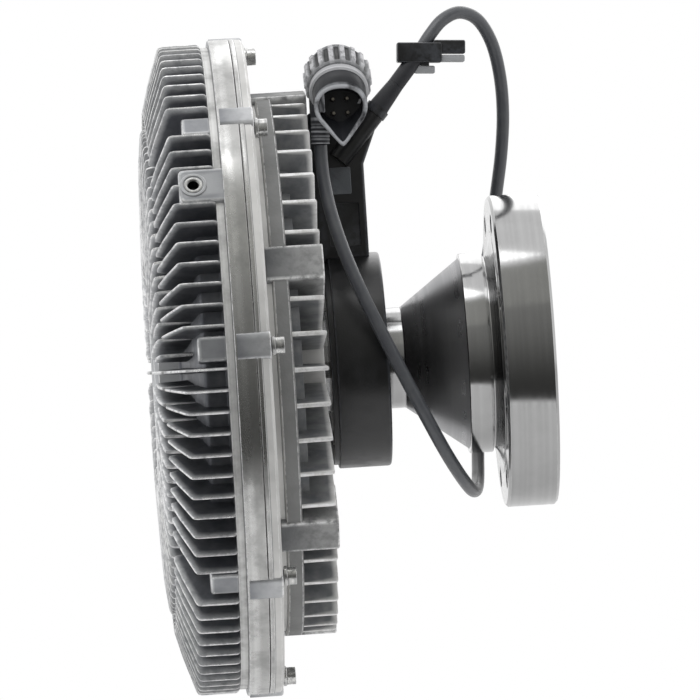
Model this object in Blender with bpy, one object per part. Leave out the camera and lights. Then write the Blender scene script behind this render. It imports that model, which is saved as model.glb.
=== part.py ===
"""Electronically controlled viscous fan clutch for a truck engine.

The clutch turns about the X axis. The origin is the centre of the mounting face of the flange,
+X points to the engine, -X to the fan side and +Z up. Lengths are metres.
An angle round the axis starts at the near side (-Y) and grows downwards (towards -Z).
"""

import math

import bmesh
import bpy
from mathutils import Matrix, Vector

MM = 0.001

# Fits
FIT = 0.3 * MM
TINY = 0.1 * MM
CUT_OVER = 2.0 * MM
CARRIER_SIZE = 20.0 * MM

# Round resolution
ROUND_LARGE = 36
ROUND_MEDIUM = 28
ROUND_SMALL = 20
CIRCLIP_STEPS = 16
PLUG_STEPS = 12
HOLE_STEPS = 8
SCREW_STEPS = 6

# Flanged shaft
FLANGE_RADIUS = 66.3 * MM
FLANGE_THICKNESS = 21.7 * MM
FLANGE_CHAMFER = 1.0 * MM
FLARE_RADIUS = 51.0 * MM
FLARE_LENGTH = 3.9 * MM
FLARE_STEPS = 3
LAND_RADIUS = 42.5 * MM
LAND_GROOVE_RADIUS = 40.5 * MM
LAND_LENGTH = 10.0 * MM
CONE_LARGE_RADIUS = 40.5 * MM
CONE_LENGTH = 25.6 * MM
NECK_RADIUS = 21.4 * MM
NECK_LENGTH = 15.5 * MM
PILOT_RADIUS = 38.0 * MM
PILOT_DEPTH = 8.0 * MM
FLANGE_HOLE_COUNT = 8
FLANGE_HOLE_RADIUS = 4.25 * MM
FLANGE_HOLE_PITCH_RADIUS = 58.0 * MM
SHAFT_RADIUS = 17.5 * MM
ROTOR_SEAT_RADIUS = 15.0 * MM
ROTOR_SEAT_LENGTH = 19.0 * MM

# Bearings
MAGNET_BEARING_WIDTH = 14.0 * MM
MAGNET_BEARING_RADIUS = 31.0 * MM
MAIN_BEARING_WIDTH = 17.0 * MM
MAIN_BEARING_RADIUS = 36.0 * MM
BEARING_RING_WALL = 4.8 * MM
RACE_DEPTH = 1.2 * MM
RACE_WIDTH_SHARE = 0.28
CAGE_WALL = 2.0 * MM
CAGE_WIDTH_SHARE = 0.7
BALL_COUNT = 8
SPACER_LENGTH = 10.0 * MM
SPACER_WALL = 4.0 * MM
CIRCLIP_WIDTH = 1.2 * MM
CIRCLIP_GROOVE_DEPTH = 1.6 * MM
CIRCLIP_INSIDE = 2.2 * MM
CIRCLIP_GAP_ANGLE = math.radians(30.0)

# Housing radii: the flange drives the others, each through a named step
HOUSING_FLANGE_RADIUS = 139.4 * MM
SCREW_EDGE_DISTANCE = 7.4 * MM
SEAL_TO_SCREW = 6.4 * MM
CHAMBER_TO_SEAL = 4.6 * MM
ROTOR_CLEARANCE = 2.0 * MM
SCREW_PITCH_RADIUS = HOUSING_FLANGE_RADIUS - SCREW_EDGE_DISTANCE
SEAL_RADIUS = SCREW_PITCH_RADIUS - SEAL_TO_SCREW
CHAMBER_RADIUS = SEAL_RADIUS - CHAMBER_TO_SEAL

# Rotor
ROTOR_RADIUS = CHAMBER_RADIUS - ROTOR_CLEARANCE
ROTOR_THICKNESS = 9.0 * MM
ROTOR_HUB_RADIUS = 24.0 * MM
ROTOR_HUB_LENGTH = 19.2 * MM
LAND_RING_INSET = 21.0 * MM
LAND_RING_RADII = (ROTOR_RADIUS - LAND_RING_INSET,)
LAND_RING_HALF_WIDTH = 2.0 * MM
LAND_RING_HEIGHT = 5.0 * MM
LAND_RING_CLEARANCE = 2.0 * MM
RESERVOIR_INNER_RADIUS = 38.0 * MM
RESERVOIR_OUTER_RADIUS = 76.0 * MM
RESERVOIR_DEPTH = 5.0 * MM
ROTOR_BOLT_RADIUS = 5.0 * MM
ROTOR_BOLT_LENGTH = 24.0 * MM
ROTOR_BOLT_HEAD_RADIUS = 12.0 * MM
ROTOR_BOLT_HEAD_HEIGHT = 7.0 * MM
ROTOR_BOLT_WASHER_RADIUS = 19.0 * MM
ROTOR_BOLT_WASHER_HEIGHT = 2.0 * MM

# Reservoir plate and valve
PLATE_THICKNESS = 1.0 * MM
PLATE_OVERLAP = 3.0 * MM
PORT_RADIUS = 3.0 * MM
PORT_INSET = 8.0 * MM
PORT_PITCH_RADIUS = RESERVOIR_OUTER_RADIUS - PORT_INSET
VALVE_ANGLE = math.radians(-90.0)
VALVE_PIVOT_RADIUS = 42.0 * MM
VALVE_END = 5.0 * MM
VALVE_WIDTH = 9.0 * MM
VALVE_THICKNESS = 1.0 * MM
VALVE_HEAD_RADIUS = 7.0 * MM
VALVE_HEAD_STEPS = 10
RIVET_RADIUS = 1.2 * MM
RIVET_HEAD_RADIUS = 2.6 * MM
RIVET_HEAD_HEIGHT = 0.8 * MM

# Housing, shared by cover and rear housing
SEAM_X = -127.5 * MM
COVER_FLANGE_THICKNESS = 5.5 * MM
REAR_FLANGE_THICKNESS = 6.0 * MM
SCREW_COUNT = 8
SCREW_FIRST_ANGLE = math.radians(-3.6)
SCREW_RADIUS = 2.5 * MM
SCREW_LENGTH = 24.0 * MM
SCREW_HEAD_RADIUS = 4.3 * MM
SCREW_HEAD_HEIGHT = 5.2 * MM

# Front cover
COVER_GROOVE_DEPTH = 3.4 * MM
COVER_GROOVE_RADIUS = HOUSING_FLANGE_RADIUS - COVER_GROOVE_DEPTH
COVER_GROOVE_LENGTH = 4.3 * MM
COVER_FRONT_X = -169.3 * MM
COVER_BOSS_RADIUS = 36.0 * MM
COVER_BOSS_CHAMFER = 2.0 * MM
COVER_BOSS_DROP = 1.6 * MM
DOME_ROOT_X = -156.5 * MM
DOME_RING_X = -152.5 * MM
RIM_WALL = 5.0 * MM
RIM_ROOT_RADIUS = CHAMBER_RADIUS + RIM_WALL
RIM_SHOULDER_X = -149.0 * MM
CHAMBER_FLOOR_X = -139.5 * MM
COVER_RECESS_INSET = 20.0 * MM
COVER_RECESS_RADIUS = LAND_RING_RADII[0] - COVER_RECESS_INSET
COVER_RECESS_DEPTH = 8.0 * MM
RIM_FIN_COUNT = 96
RIM_FIN_DROP = 1.4 * MM
RIM_FIN_TIP_RADIUS = HOUSING_FLANGE_RADIUS - RIM_FIN_DROP
RIM_FIN_THICKNESS = 2.1 * MM
RIM_FIN_LENGTH = 19.5 * MM
RIM_FIN_HEEL = 1.8 * MM
RIM_FIN_SLOPE = 13.0 * MM
RIM_FIN_TOP_RADIUS = RIM_FIN_TIP_RADIUS - RIM_FIN_SLOPE
RIM_FIN_TOP_X = -162.0 * MM
RIM_FIN_TOP_LENGTH = 13.0 * MM
RIM_FIN_INNER_RADIUS = RIM_FIN_TOP_RADIUS - RIM_FIN_TOP_LENGTH
DOME_RING_STEP = 4.0 * MM
DOME_RING_RADIUS = RIM_FIN_INNER_RADIUS - DOME_RING_STEP
FRONT_FIN_COUNT = 48
FRONT_FIN_THICKNESS = 2.2 * MM
FRONT_FIN_OUTER_RADIUS = DOME_RING_RADIUS - DOME_RING_STEP
FRONT_FIN_OUTER_X = -164.2 * MM
FRONT_FIN_KNEE_LENGTH = 13.0 * MM
FRONT_FIN_KNEE_RADIUS = FRONT_FIN_OUTER_RADIUS - FRONT_FIN_KNEE_LENGTH
FRONT_FIN_KNEE_X = -167.3 * MM
FRONT_FIN_TOP_RADIUS = 61.0 * MM
FRONT_FIN_INNER_RADIUS = 46.0 * MM
FIN_ROOTED = 1.5 * MM
SCREW_BOSS_WIDTH = 9.2 * MM
SCREW_BOSS_DROP = 0.8 * MM
SCREW_BOSS_OUTER_RADIUS = COVER_GROOVE_RADIUS - SCREW_BOSS_DROP
SCREW_BOSS_LENGTH = 16.0 * MM
PAD_ANGLE = math.radians(-33.5)
PAD_FRONT_X = -159.4 * MM
PLUG_X = -145.2 * MM
PAD_WIDTH = 16.0 * MM
PLUG_RADIUS = 2.2 * MM
PLUG_HEAD_RADIUS = 4.2 * MM
PLUG_HEAD_HEIGHT = 1.4 * MM
PLUG_LENGTH = 9.0 * MM

# Rear housing
REAR_BODY_STEP = 24.6 * MM
REAR_BODY_RADIUS = HOUSING_FLANGE_RADIUS - REAR_BODY_STEP
REAR_NECK_DEPTH = 6.8 * MM
REAR_NECK_RADIUS = REAR_BODY_RADIUS - REAR_NECK_DEPTH
REAR_NECK_LENGTH = 3.5 * MM
REAR_WALL_X = -107.5 * MM
REAR_FACE_X = -97.0 * MM
REAR_FLOOR_X = -119.0 * MM
REAR_FLOOR_INSET = 14.8 * MM
REAR_FLOOR_RADIUS = REAR_BODY_RADIUS - REAR_FLOOR_INSET
REAR_FLOOR_SLOPE = 2.0 * MM
WORKING_FACE_X = -124.5 * MM
REAR_BOSS_RADIUS = 62.0 * MM
REAR_LIP_RADIUS = 33.0 * MM
REAR_LIP_THICKNESS = 3.2 * MM
REAR_INNER_BOSS_RADIUS = 45.0 * MM
RIB_COUNT = 48
RIB_FIRST_ANGLE = math.radians(1.2)
RIB_THICKNESS = 2.2 * MM
RIB_DROP = 0.6 * MM
RIB_OUTER_RADIUS = REAR_BODY_RADIUS - RIB_DROP
RIB_INNER_RADIUS = 60.0 * MM
FAN_BOSS_COUNT = 6
FAN_BOSS_FIRST_ANGLE = math.radians(-21.5)
FAN_BOSS_WIDTH = 14.6 * MM
FAN_BOSS_DROP = 1.0 * MM
FAN_BOSS_HEIGHT = 21.8 * MM
FAN_BOSS_OUTER_RADIUS = REAR_BODY_RADIUS - FAN_BOSS_DROP
FAN_BOSS_INNER_RADIUS = FAN_BOSS_OUTER_RADIUS - FAN_BOSS_HEIGHT
FAN_BOSS_FACE_X = -96.2 * MM
FAN_BOSS_BACK_X = -116.5 * MM
FAN_HOLE_RADIUS = 3.4 * MM
FAN_HOLE_DEPTH = 15.0 * MM
FAN_HOLE_INSET = 10.8 * MM
FAN_HOLE_PITCH_RADIUS = FAN_BOSS_OUTER_RADIUS - FAN_HOLE_INSET
POLE_RING_RADIUS = 56.0 * MM
POLE_RING_WALL = 6.0 * MM
POLE_RING_LENGTH = 16.0 * MM
SEAL_HALF_WIDTH = 1.5 * MM
SEAL_DEPTH = 2.2 * MM

# Magnet housing and its arm
MAGNET_RADIUS = 45.5 * MM
MAGNET_FRONT_X = -93.5 * MM
MAGNET_BACK_X = -69.1 * MM
MAGNET_STEP = 1.6 * MM
MAGNET_STEP_LENGTH = 2.2 * MM
MAGNET_EYE_RADIUS = 25.0 * MM
MAGNET_BACK_WALL = 4.0 * MM
CORE_WALL = 4.0 * MM
COIL_RADIUS = 42.0 * MM
ARM_HALF_DEPTH = 13.0 * MM
ARM_LEFT_X = -92.6 * MM
ARM_WAIST_X = -73.4 * MM
ARM_SHOULDER_X = -66.0 * MM
ARM_ROOT_Z = 34.0 * MM
ARM_WAIST_Z = 76.0 * MM
ARM_SHOULDER_Z = 99.0 * MM
ARM_SHOULDER_STEP = 2.0 * MM
ARM_TOP_Z = 106.0 * MM
ARM_HOLDER_Z = 128.0 * MM
ARM_HOLDER_RIGHT_X = -76.5 * MM
ARM_HOLDER_DEPTH = 9.0 * MM
ARM_BEVEL = 1.2 * MM
ARM_PANEL_DEPTH = 2.5 * MM
ARM_PANEL_MARGIN = 3.0 * MM

# Cable, sleeve, clip and connector
CABLE_RADIUS = 2.75 * MM
SLEEVE_ROOT_RADIUS = 4.6 * MM
SLEEVE_END_RADIUS = 3.5 * MM
SLEEVE_ROOT = Vector((-84.0, -14.2, 85.0)) * MM
SLEEVE_TIP = Vector((-65.6, -12.2, 106.3)) * MM
CABLE_ROUTE_MM = (
    (-57.6, -11.3, 115.6),
    (-52.4, -10.4, 121.8),
    (-46.9, -8.8, 128.6),
    (-41.6, -6.6, 135.8),
    (-35.6, -3.0, 142.0),
    (-28.0, 2.0, 144.9),
    (-20.2, 8.0, 141.6),
    (-14.4, 14.5, 131.6),
    (-11.4, 21.0, 117.5),
    (-10.7, 27.5, 102.0),
    (-12.0, 35.0, 85.5),
    (-14.6, 45.0, 68.5),
    (-17.6, 56.5, 50.5),
    (-20.6, 66.0, 31.0),
    (-23.4, 70.6, 10.5),
    (-26.0, 68.5, -10.5),
    (-28.2, 58.0, -29.5),
    (-29.9, 41.5, -45.0),
    (-31.8, 20.5, -55.5),
    (-34.8, -1.5, -58.6),
    (-40.2, -23.0, -53.0),
    (-47.6, -39.5, -41.0),
    (-55.6, -49.0, -25.0),
    (-63.6, -53.0, -8.0),
    (-71.4, -54.0, 9.5),
    (-78.8, -52.4, 27.0),
    (-85.0, -48.0, 44.5),
    (-89.4, -42.0, 61.5),
    (-91.4, -36.2, 75.0),
    (-91.9, -33.7, 84.0),
    (-91.9, -33.5, 91.4),
)
CABLE_POINT_SPACING = 15.0 * MM
ROUTE_STEPS = 24
CLIP_CENTRE_MM = (-46.9, -8.8, 128.6)
CLIP_LENGTH = 8.5 * MM
CLIP_OUTER = 6.0 * MM
CLIP_TAB_LENGTH = 19.0 * MM
CLIP_TAB_HEIGHT = 5.6 * MM
CLIP_TAB_DEPTH = 9.0 * MM
CONNECTOR_CENTRE = Vector((-83.0, -32.0, 118.5)) * MM
CONNECTOR_TILT = math.radians(34.0)
CONNECTOR_RADIUS = 11.3 * MM
CONNECTOR_BARREL = 11.0 * MM
HOOD_CENTRE = Vector((-83.0, -50.0, 107.2)) * MM
HOOD_TIP = 16.4 * MM
HOOD_WALL = 2.4 * MM
HOOD_STEPS = 8
HOOD_SHOULDER_WIDTH = 0.92
HOOD_SHOULDER_DROP = 0.45
HOOD_POINT_WIDTH = 0.25
HOOD_POINT_DROP = 0.94
SOCKET_DEPTH = 13.0 * MM
OUTLET_RADIUS = 4.0 * MM
OUTLET_TOP_Z = 112.0 * MM
FOOT_RADIUS = 4.5 * MM
FOOT_PLACE_SHARE = 0.7
RING_RADIUS = 15.0 * MM
RING_LENGTH = 9.5 * MM
RING_RIBS = 18
RING_RIB_HEIGHT = 1.3 * MM
PIN_COUNT = 4
PIN_RADIUS = 1.1 * MM
PIN_LENGTH = 9.0 * MM
PIN_PITCH_RADIUS = 4.2 * MM
PIN_TIP_SHARE = 0.6

# Places worked out from the sizes above
FLANGE_BACK_X = -FLANGE_THICKNESS
LAND_BACK_X = FLANGE_BACK_X - FLARE_LENGTH
CONE_BACK_X = LAND_BACK_X - LAND_LENGTH
CONE_FRONT_X = CONE_BACK_X - CONE_LENGTH
SHOULDER_X = CONE_FRONT_X - NECK_LENGTH
MAGNET_BEARING_BACK = SHOULDER_X - FIT
MAGNET_BEARING_FRONT = MAGNET_BEARING_BACK - MAGNET_BEARING_WIDTH
SPACER_BACK = MAGNET_BEARING_FRONT - FIT
SPACER_FRONT = SPACER_BACK - SPACER_LENGTH
MAIN_BEARING_BACK = SPACER_FRONT - FIT
MAIN_BEARING_FRONT = MAIN_BEARING_BACK - MAIN_BEARING_WIDTH
ROTOR_HUB_BACK = MAIN_BEARING_FRONT - FIT
ROTOR_FRONT = ROTOR_HUB_BACK - ROTOR_HUB_LENGTH
ROTOR_BACK = ROTOR_FRONT + ROTOR_THICKNESS
SHAFT_STEP_X = MAIN_BEARING_FRONT + FIT
SHAFT_END_X = SHAFT_STEP_X - ROTOR_SEAT_LENGTH
PLATE_FRONT = ROTOR_BACK + FIT
PLATE_BACK = PLATE_FRONT + PLATE_THICKNESS
VALVE_FRONT = PLATE_BACK + FIT
VALVE_BACK = VALVE_FRONT + VALVE_THICKNESS
COVER_SEAM = SEAM_X - FIT / 2
REAR_SEAM = SEAM_X + FIT / 2
COVER_GROOVE_BACK = SEAM_X - COVER_FLANGE_THICKNESS
COVER_GROOVE_FRONT = COVER_GROOVE_BACK - COVER_GROOVE_LENGTH
REAR_FLANGE_BACK = SEAM_X + REAR_FLANGE_THICKNESS
BORE_CLEAR = SHAFT_RADIUS + FIT
HOLDER_FACE_Y = -ARM_HALF_DEPTH + FIT

MATERIALS = {
    "cast_aluminium": ((0.62, 0.63, 0.63), 0.42, 0.9),
    "machined_steel": ((0.70, 0.70, 0.69), 0.25, 1.0),
    "bearing_steel": ((0.60, 0.61, 0.63), 0.2, 1.0),
    "bright_screw": ((0.68, 0.68, 0.66), 0.3, 1.0),
    "black_plastic": ((0.022, 0.023, 0.026), 0.5, 0.0),
    "black_rubber": ((0.035, 0.036, 0.04), 0.6, 0.0),
    "cable_jacket": ((0.06, 0.063, 0.07), 0.55, 0.0),
    "copper_winding": ((0.55, 0.25, 0.12), 0.35, 1.0),
    "brass": ((0.66, 0.5, 0.25), 0.3, 1.0),
}


def clear_scene():
    """Remove every object that the file opened with."""
    for item in list(bpy.data.objects):
        bpy.data.objects.remove(item, do_unlink=True)


def material(name):
    """Return the named material, made on first use."""
    found = bpy.data.materials.get(name)
    if found:
        return found
    colour, roughness, metallic = MATERIALS[name]
    made = bpy.data.materials.new(name)
    made.use_nodes = True
    shader = made.node_tree.nodes["Principled BSDF"]
    shader.inputs["Base Color"].default_value = (*colour, 1.0)
    shader.inputs["Roughness"].default_value = roughness
    shader.inputs["Metallic"].default_value = metallic
    return made


def finish_mesh(mesh, sharp=math.radians(32.0)):
    """Smooth shading with real edges kept sharp."""
    mesh.shade_smooth()
    mesh.set_sharp_from_angle(angle=sharp)


def add_object(name, vertices, faces, finish):
    """Make one object from points and faces."""
    mesh = bpy.data.meshes.new(name)
    mesh.from_pydata([tuple(v) for v in vertices], [], faces)
    mesh.validate()
    made = bpy.data.objects.new(name, mesh)
    bpy.context.scene.collection.objects.link(made)
    mesh.materials.append(material(finish))
    finish_mesh(mesh)
    return made


def radial(angle):
    """Unit vector out from the axis at an angle."""
    return Vector((0.0, -math.cos(angle), -math.sin(angle)))


def tangent(angle):
    """Unit vector round the axis at an angle."""
    return Vector((0.0, math.sin(angle), -math.cos(angle)))


def on_axis(x, radius, angle):
    """Point at a station, a radius and an angle round the clutch axis."""
    return Vector((x, 0.0, 0.0)) + radial(angle) * radius


def outline_area(outline):
    """Signed area of a closed outline."""
    total = 0.0
    for (x0, r0), (x1, r1) in zip(outline, outline[1:] + outline[:1]):
        total += x0 * r1 - x1 * r0
    return total / 2


def turned(name, outline, segments, finish, sweep=2 * math.pi, start=0.0):
    """Turn a closed outline of (x, radius) points about the clutch axis."""
    if outline_area(outline) < 0:
        outline = outline[::-1]
    closed = abs(sweep - 2 * math.pi) < 1e-6
    columns = segments if closed else segments + 1
    vertices = []
    index = []
    for x, radius in outline:
        if radius < 1e-9:
            index.append([len(vertices)] * columns)
            vertices.append(Vector((x, 0.0, 0.0)))
            continue
        index.append([len(vertices) + c for c in range(columns)])
        vertices += [on_axis(x, radius, start + sweep * c / segments) for c in range(columns)]
    faces = []
    count = len(outline)
    for i in range(count):
        j = (i + 1) % count
        for c in range(segments):
            d = (c + 1) % columns
            corners = [index[i][c], index[j][c], index[j][d], index[i][d]]
            ring = [v for k, v in enumerate(corners) if v != corners[k - 1]]
            if len(ring) > 2:
                faces.append(ring)
    if not closed:
        faces.append([index[i][0] for i in reversed(range(count))])
        faces.append([index[i][-1] for i in range(count)])
    return add_object(name, vertices, faces, finish)


def plates(name, outline, angles, thickness, finish):
    """Flat radial plates of one (x, radius) outline, one at each angle."""
    if outline_area(outline) < 0:
        outline = outline[::-1]
    count = len(outline)
    vertices = []
    faces = []
    for angle in angles:
        first = len(vertices)
        for side in (-1, 1):
            shift = tangent(angle) * (side * thickness / 2)
            vertices += [on_axis(x, r, angle) + shift for x, r in outline]
        faces.append([first + i for i in reversed(range(count))])
        faces.append([first + count + i for i in range(count)])
        for i in range(count):
            j = (i + 1) % count
            faces.append([first + i, first + j, first + count + j, first + count + i])
    return add_object(name, vertices, faces, finish)


def frame_along(direction):
    """Two unit vectors square to a direction, the first one level where it can be."""
    axis = direction.normalized()
    helper = Vector((1.0, 0.0, 0.0)) if abs(axis.x) < 0.9 else Vector((0.0, 1.0, 0.0))
    side = (helper - axis * helper.dot(axis)).normalized()
    return side, axis.cross(side)


def rods(name, ends, segments, finish):
    """Round rods; each entry is (start, end, start radius, end radius)."""
    vertices = []
    faces = []
    for start, end, radius_a, radius_b in ends:
        u, v = frame_along(end - start)
        first = len(vertices)
        for centre, radius in ((start, radius_a), (end, radius_b)):
            for k in range(segments):
                a = 2 * math.pi * k / segments
                vertices.append(centre + (u * math.cos(a) + v * math.sin(a)) * radius)
        faces.append([first + k for k in reversed(range(segments))])
        faces.append([first + segments + k for k in range(segments)])
        for k in range(segments):
            m = (k + 1) % segments
            faces.append([first + k, first + m, first + segments + m, first + segments + k])
    return add_object(name, vertices, faces, finish)


def slab(name, outline, origin, u, v, depth, finish):
    """Extrude an outline, drawn along u and v from an origin, by a depth along u x v."""
    if outline_area(outline) < 0:
        outline = outline[::-1]
    count = len(outline)
    normal = u.cross(v)
    bottom = [origin + u * a + v * b for a, b in outline]
    vertices = bottom + [p + normal * depth for p in bottom]
    faces = [list(reversed(range(count))), [count + i for i in range(count)]]
    for i in range(count):
        j = (i + 1) % count
        faces.append([i, j, count + j, count + i])
    return add_object(name, vertices, faces, finish)


def combine(target, tool, operation):
    """Join a tool to a piece, or cut it out, and remove the tool."""
    cut = target.modifiers.new(operation.lower(), "BOOLEAN")
    cut.operation = operation
    cut.solver = "EXACT"
    cut.object = tool
    evaluated = target.evaluated_get(bpy.context.evaluated_depsgraph_get())
    result = bpy.data.meshes.new_from_object(evaluated)
    target.modifiers.clear()
    target.data = result
    bpy.data.objects.remove(tool, do_unlink=True)
    finish_mesh(result)


def set_origin(item, point):
    """Move an object's origin, with its shape left where it is."""
    item.data.transform(Matrix.Translation(-point))
    item.location = point


def parent_to(carrier, items):
    """Hang pieces on an empty that stands on their joint's axis."""
    bpy.context.view_layer.update()
    for item in items:
        item.parent = carrier
        item.matrix_parent_inverse = carrier.matrix_world.inverted()


def carrier_at(name, point):
    """Make the empty that carries one moving body."""
    made = bpy.data.objects.new(name, None)
    made.location = point
    made.empty_display_size = CARRIER_SIZE
    bpy.context.scene.collection.objects.link(made)
    return made


def spaced(count, first=0.0):
    """Equal angles round the axis."""
    return [first + 2 * math.pi * k / count for k in range(count)]


def flare_points():
    """Fillet between the land and the back of the flange, a quarter of an ellipse."""
    points = []
    for step in range(FLARE_STEPS + 1):
        a = math.pi / 2 * step / FLARE_STEPS
        x = LAND_BACK_X + FLARE_LENGTH * math.sin(a)
        r = FLARE_RADIUS - (FLARE_RADIUS - LAND_GROOVE_RADIUS) * math.cos(a)
        points.append((x, r))
    return points


def make_flanged_shaft():
    """Forged shaft: flange, land, cone, neck, bearing seats and rotor seat."""
    bolt_bore = ROTOR_BOLT_RADIUS + FIT
    bore_end = SHAFT_END_X + ROTOR_BOLT_LENGTH + CUT_OVER
    outline = [
        (bore_end + bolt_bore / 2, 0.0),
        (bore_end, bolt_bore),
        (SHAFT_END_X, bolt_bore),
        (SHAFT_END_X, ROTOR_SEAT_RADIUS - FLANGE_CHAMFER),
        (SHAFT_END_X + FLANGE_CHAMFER, ROTOR_SEAT_RADIUS),
        (SHAFT_STEP_X, ROTOR_SEAT_RADIUS),
        (SHAFT_STEP_X, SHAFT_RADIUS),
        (SHOULDER_X, SHAFT_RADIUS),
        (SHOULDER_X, NECK_RADIUS),
        (CONE_FRONT_X, NECK_RADIUS),
        (CONE_BACK_X, CONE_LARGE_RADIUS),
        (CONE_BACK_X, LAND_RADIUS),
        (LAND_BACK_X, LAND_RADIUS),
        *flare_points(),
        (FLANGE_BACK_X, FLANGE_RADIUS - FLANGE_CHAMFER),
        (FLANGE_BACK_X + FLANGE_CHAMFER, FLANGE_RADIUS),
        (-FLANGE_CHAMFER, FLANGE_RADIUS),
        (0.0, FLANGE_RADIUS - FLANGE_CHAMFER),
        (0.0, PILOT_RADIUS),
        (-PILOT_DEPTH, PILOT_RADIUS),
        (-PILOT_DEPTH, 0.0),
    ]
    shaft = turned("flanged_shaft", outline, ROUND_MEDIUM, "machined_steel")
    holes = []
    for angle in spaced(FLANGE_HOLE_COUNT, math.pi / FLANGE_HOLE_COUNT):
        start = on_axis(FLANGE_BACK_X - CUT_OVER, FLANGE_HOLE_PITCH_RADIUS, angle)
        end = on_axis(CUT_OVER, FLANGE_HOLE_PITCH_RADIUS, angle)
        holes.append((start, end, FLANGE_HOLE_RADIUS, FLANGE_HOLE_RADIUS))
    combine(shaft, rods("flange_holes", holes, HOLE_STEPS, "machined_steel"), "DIFFERENCE")
    return shaft


def make_rotor():
    """Rotor disc with ring grooves in front and the fluid reservoir behind."""
    back = [
        (ROTOR_FRONT, ROTOR_SEAT_RADIUS + FIT),
        (ROTOR_HUB_BACK, ROTOR_SEAT_RADIUS + FIT),
        (ROTOR_HUB_BACK, ROTOR_HUB_RADIUS),
        (ROTOR_BACK, ROTOR_HUB_RADIUS),
        (ROTOR_BACK, RESERVOIR_INNER_RADIUS),
        (ROTOR_BACK - RESERVOIR_DEPTH, RESERVOIR_INNER_RADIUS),
        (ROTOR_BACK - RESERVOIR_DEPTH, RESERVOIR_OUTER_RADIUS),
        (ROTOR_BACK, RESERVOIR_OUTER_RADIUS),
        (ROTOR_BACK, ROTOR_RADIUS),
        (ROTOR_FRONT, ROTOR_RADIUS),
    ]
    half = LAND_RING_HALF_WIDTH + LAND_RING_CLEARANCE
    bottom = ROTOR_FRONT + LAND_RING_HEIGHT
    for radius in reversed(LAND_RING_RADII):
        back += [
            (ROTOR_FRONT, radius + half),
            (bottom, radius + half),
            (bottom, radius - half),
            (ROTOR_FRONT, radius - half),
        ]
    rotor = turned("rotor_disc", back, ROUND_MEDIUM, "cast_aluminium")
    washer_front = ROTOR_FRONT - FIT - ROTOR_BOLT_WASHER_HEIGHT
    bolt_end = washer_front + ROTOR_BOLT_LENGTH
    bolt = turned("rotor_bolt", [
        (bolt_end, 0.0),
        (bolt_end, ROTOR_BOLT_RADIUS),
        (ROTOR_FRONT - FIT, ROTOR_BOLT_RADIUS),
        (ROTOR_FRONT - FIT, ROTOR_BOLT_WASHER_RADIUS),
        (washer_front, ROTOR_BOLT_WASHER_RADIUS),
        (washer_front, ROTOR_BOLT_HEAD_RADIUS),
        (washer_front - ROTOR_BOLT_HEAD_HEIGHT, ROTOR_BOLT_HEAD_RADIUS),
        (washer_front - ROTOR_BOLT_HEAD_HEIGHT, 0.0),
    ], HOLE_STEPS, "bright_screw")
    return [rotor, bolt]


def make_valve():
    """Reservoir plate with its port, the sprung valve lever over it and its rivet."""
    plate = turned("reservoir_plate", [
        (PLATE_FRONT, RESERVOIR_INNER_RADIUS - PLATE_OVERLAP),
        (PLATE_FRONT, RESERVOIR_OUTER_RADIUS + PLATE_OVERLAP),
        (PLATE_BACK, RESERVOIR_OUTER_RADIUS + PLATE_OVERLAP),
        (PLATE_BACK, RESERVOIR_INNER_RADIUS - PLATE_OVERLAP),
    ], ROUND_MEDIUM, "bearing_steel", start=math.pi / ROUND_MEDIUM)
    lever = slab(
        "valve_lever",
        lever_outline(),
        on_axis(VALVE_FRONT, 0.0, 0.0),
        radial(VALVE_ANGLE),
        tangent(VALVE_ANGLE),
        VALVE_THICKNESS,
        "bearing_steel",
    )
    rivet_end = PLATE_FRONT + TINY
    head_front = VALVE_BACK + FIT
    pivot = on_axis(0.0, VALVE_PIVOT_RADIUS, VALVE_ANGLE)
    across = Vector((1.0, 0.0, 0.0))
    bore = RIVET_RADIUS + FIT
    start = pivot + across * (PLATE_FRONT - CUT_OVER)
    end = pivot + across * (VALVE_BACK + CUT_OVER)
    for piece in (plate, lever):
        hole = rods("rivet_hole", [(start, end, bore, bore)], HOLE_STEPS, "bearing_steel")
        combine(piece, hole, "DIFFERENCE")
    port = on_axis(0.0, PORT_PITCH_RADIUS, VALVE_ANGLE)
    start = port + across * (PLATE_FRONT - CUT_OVER)
    end = port + across * (PLATE_BACK + CUT_OVER)
    combine(plate, rods("port", [(start, end, PORT_RADIUS, PORT_RADIUS)], HOLE_STEPS, "bearing_steel"),
            "DIFFERENCE")
    rivet = rods("valve_rivet", [(pivot + across * rivet_end, pivot + across * (head_front + TINY),
                                  RIVET_RADIUS, RIVET_RADIUS)], HOLE_STEPS, "bright_screw")
    head = rods("rivet_head", [(pivot + across * head_front,
                                pivot + across * (head_front + RIVET_HEAD_HEIGHT),
                                RIVET_HEAD_RADIUS, RIVET_HEAD_RADIUS)], HOLE_STEPS, "bright_screw")
    combine(rivet, head, "UNION")
    set_origin(lever, on_axis((VALVE_FRONT + VALVE_BACK) / 2, VALVE_PIVOT_RADIUS, VALVE_ANGLE))
    return [plate, rivet], lever


def lever_outline():
    """Outline of the valve lever: a straight tongue with a round head over the port."""
    half = VALVE_WIDTH / 2
    inner = VALVE_PIVOT_RADIUS - VALVE_END
    points = [(inner, half), (inner, -half)]
    reach = math.sqrt(VALVE_HEAD_RADIUS**2 - half**2)
    start = math.atan2(-half, -reach)
    sweep = 2 * (math.pi - math.atan2(half, reach))
    for k in range(VALVE_HEAD_STEPS + 1):
        a = start + sweep * k / VALVE_HEAD_STEPS
        points.append((PORT_PITCH_RADIUS + VALVE_HEAD_RADIUS * math.cos(a), VALVE_HEAD_RADIUS * math.sin(a)))
    return points


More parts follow.
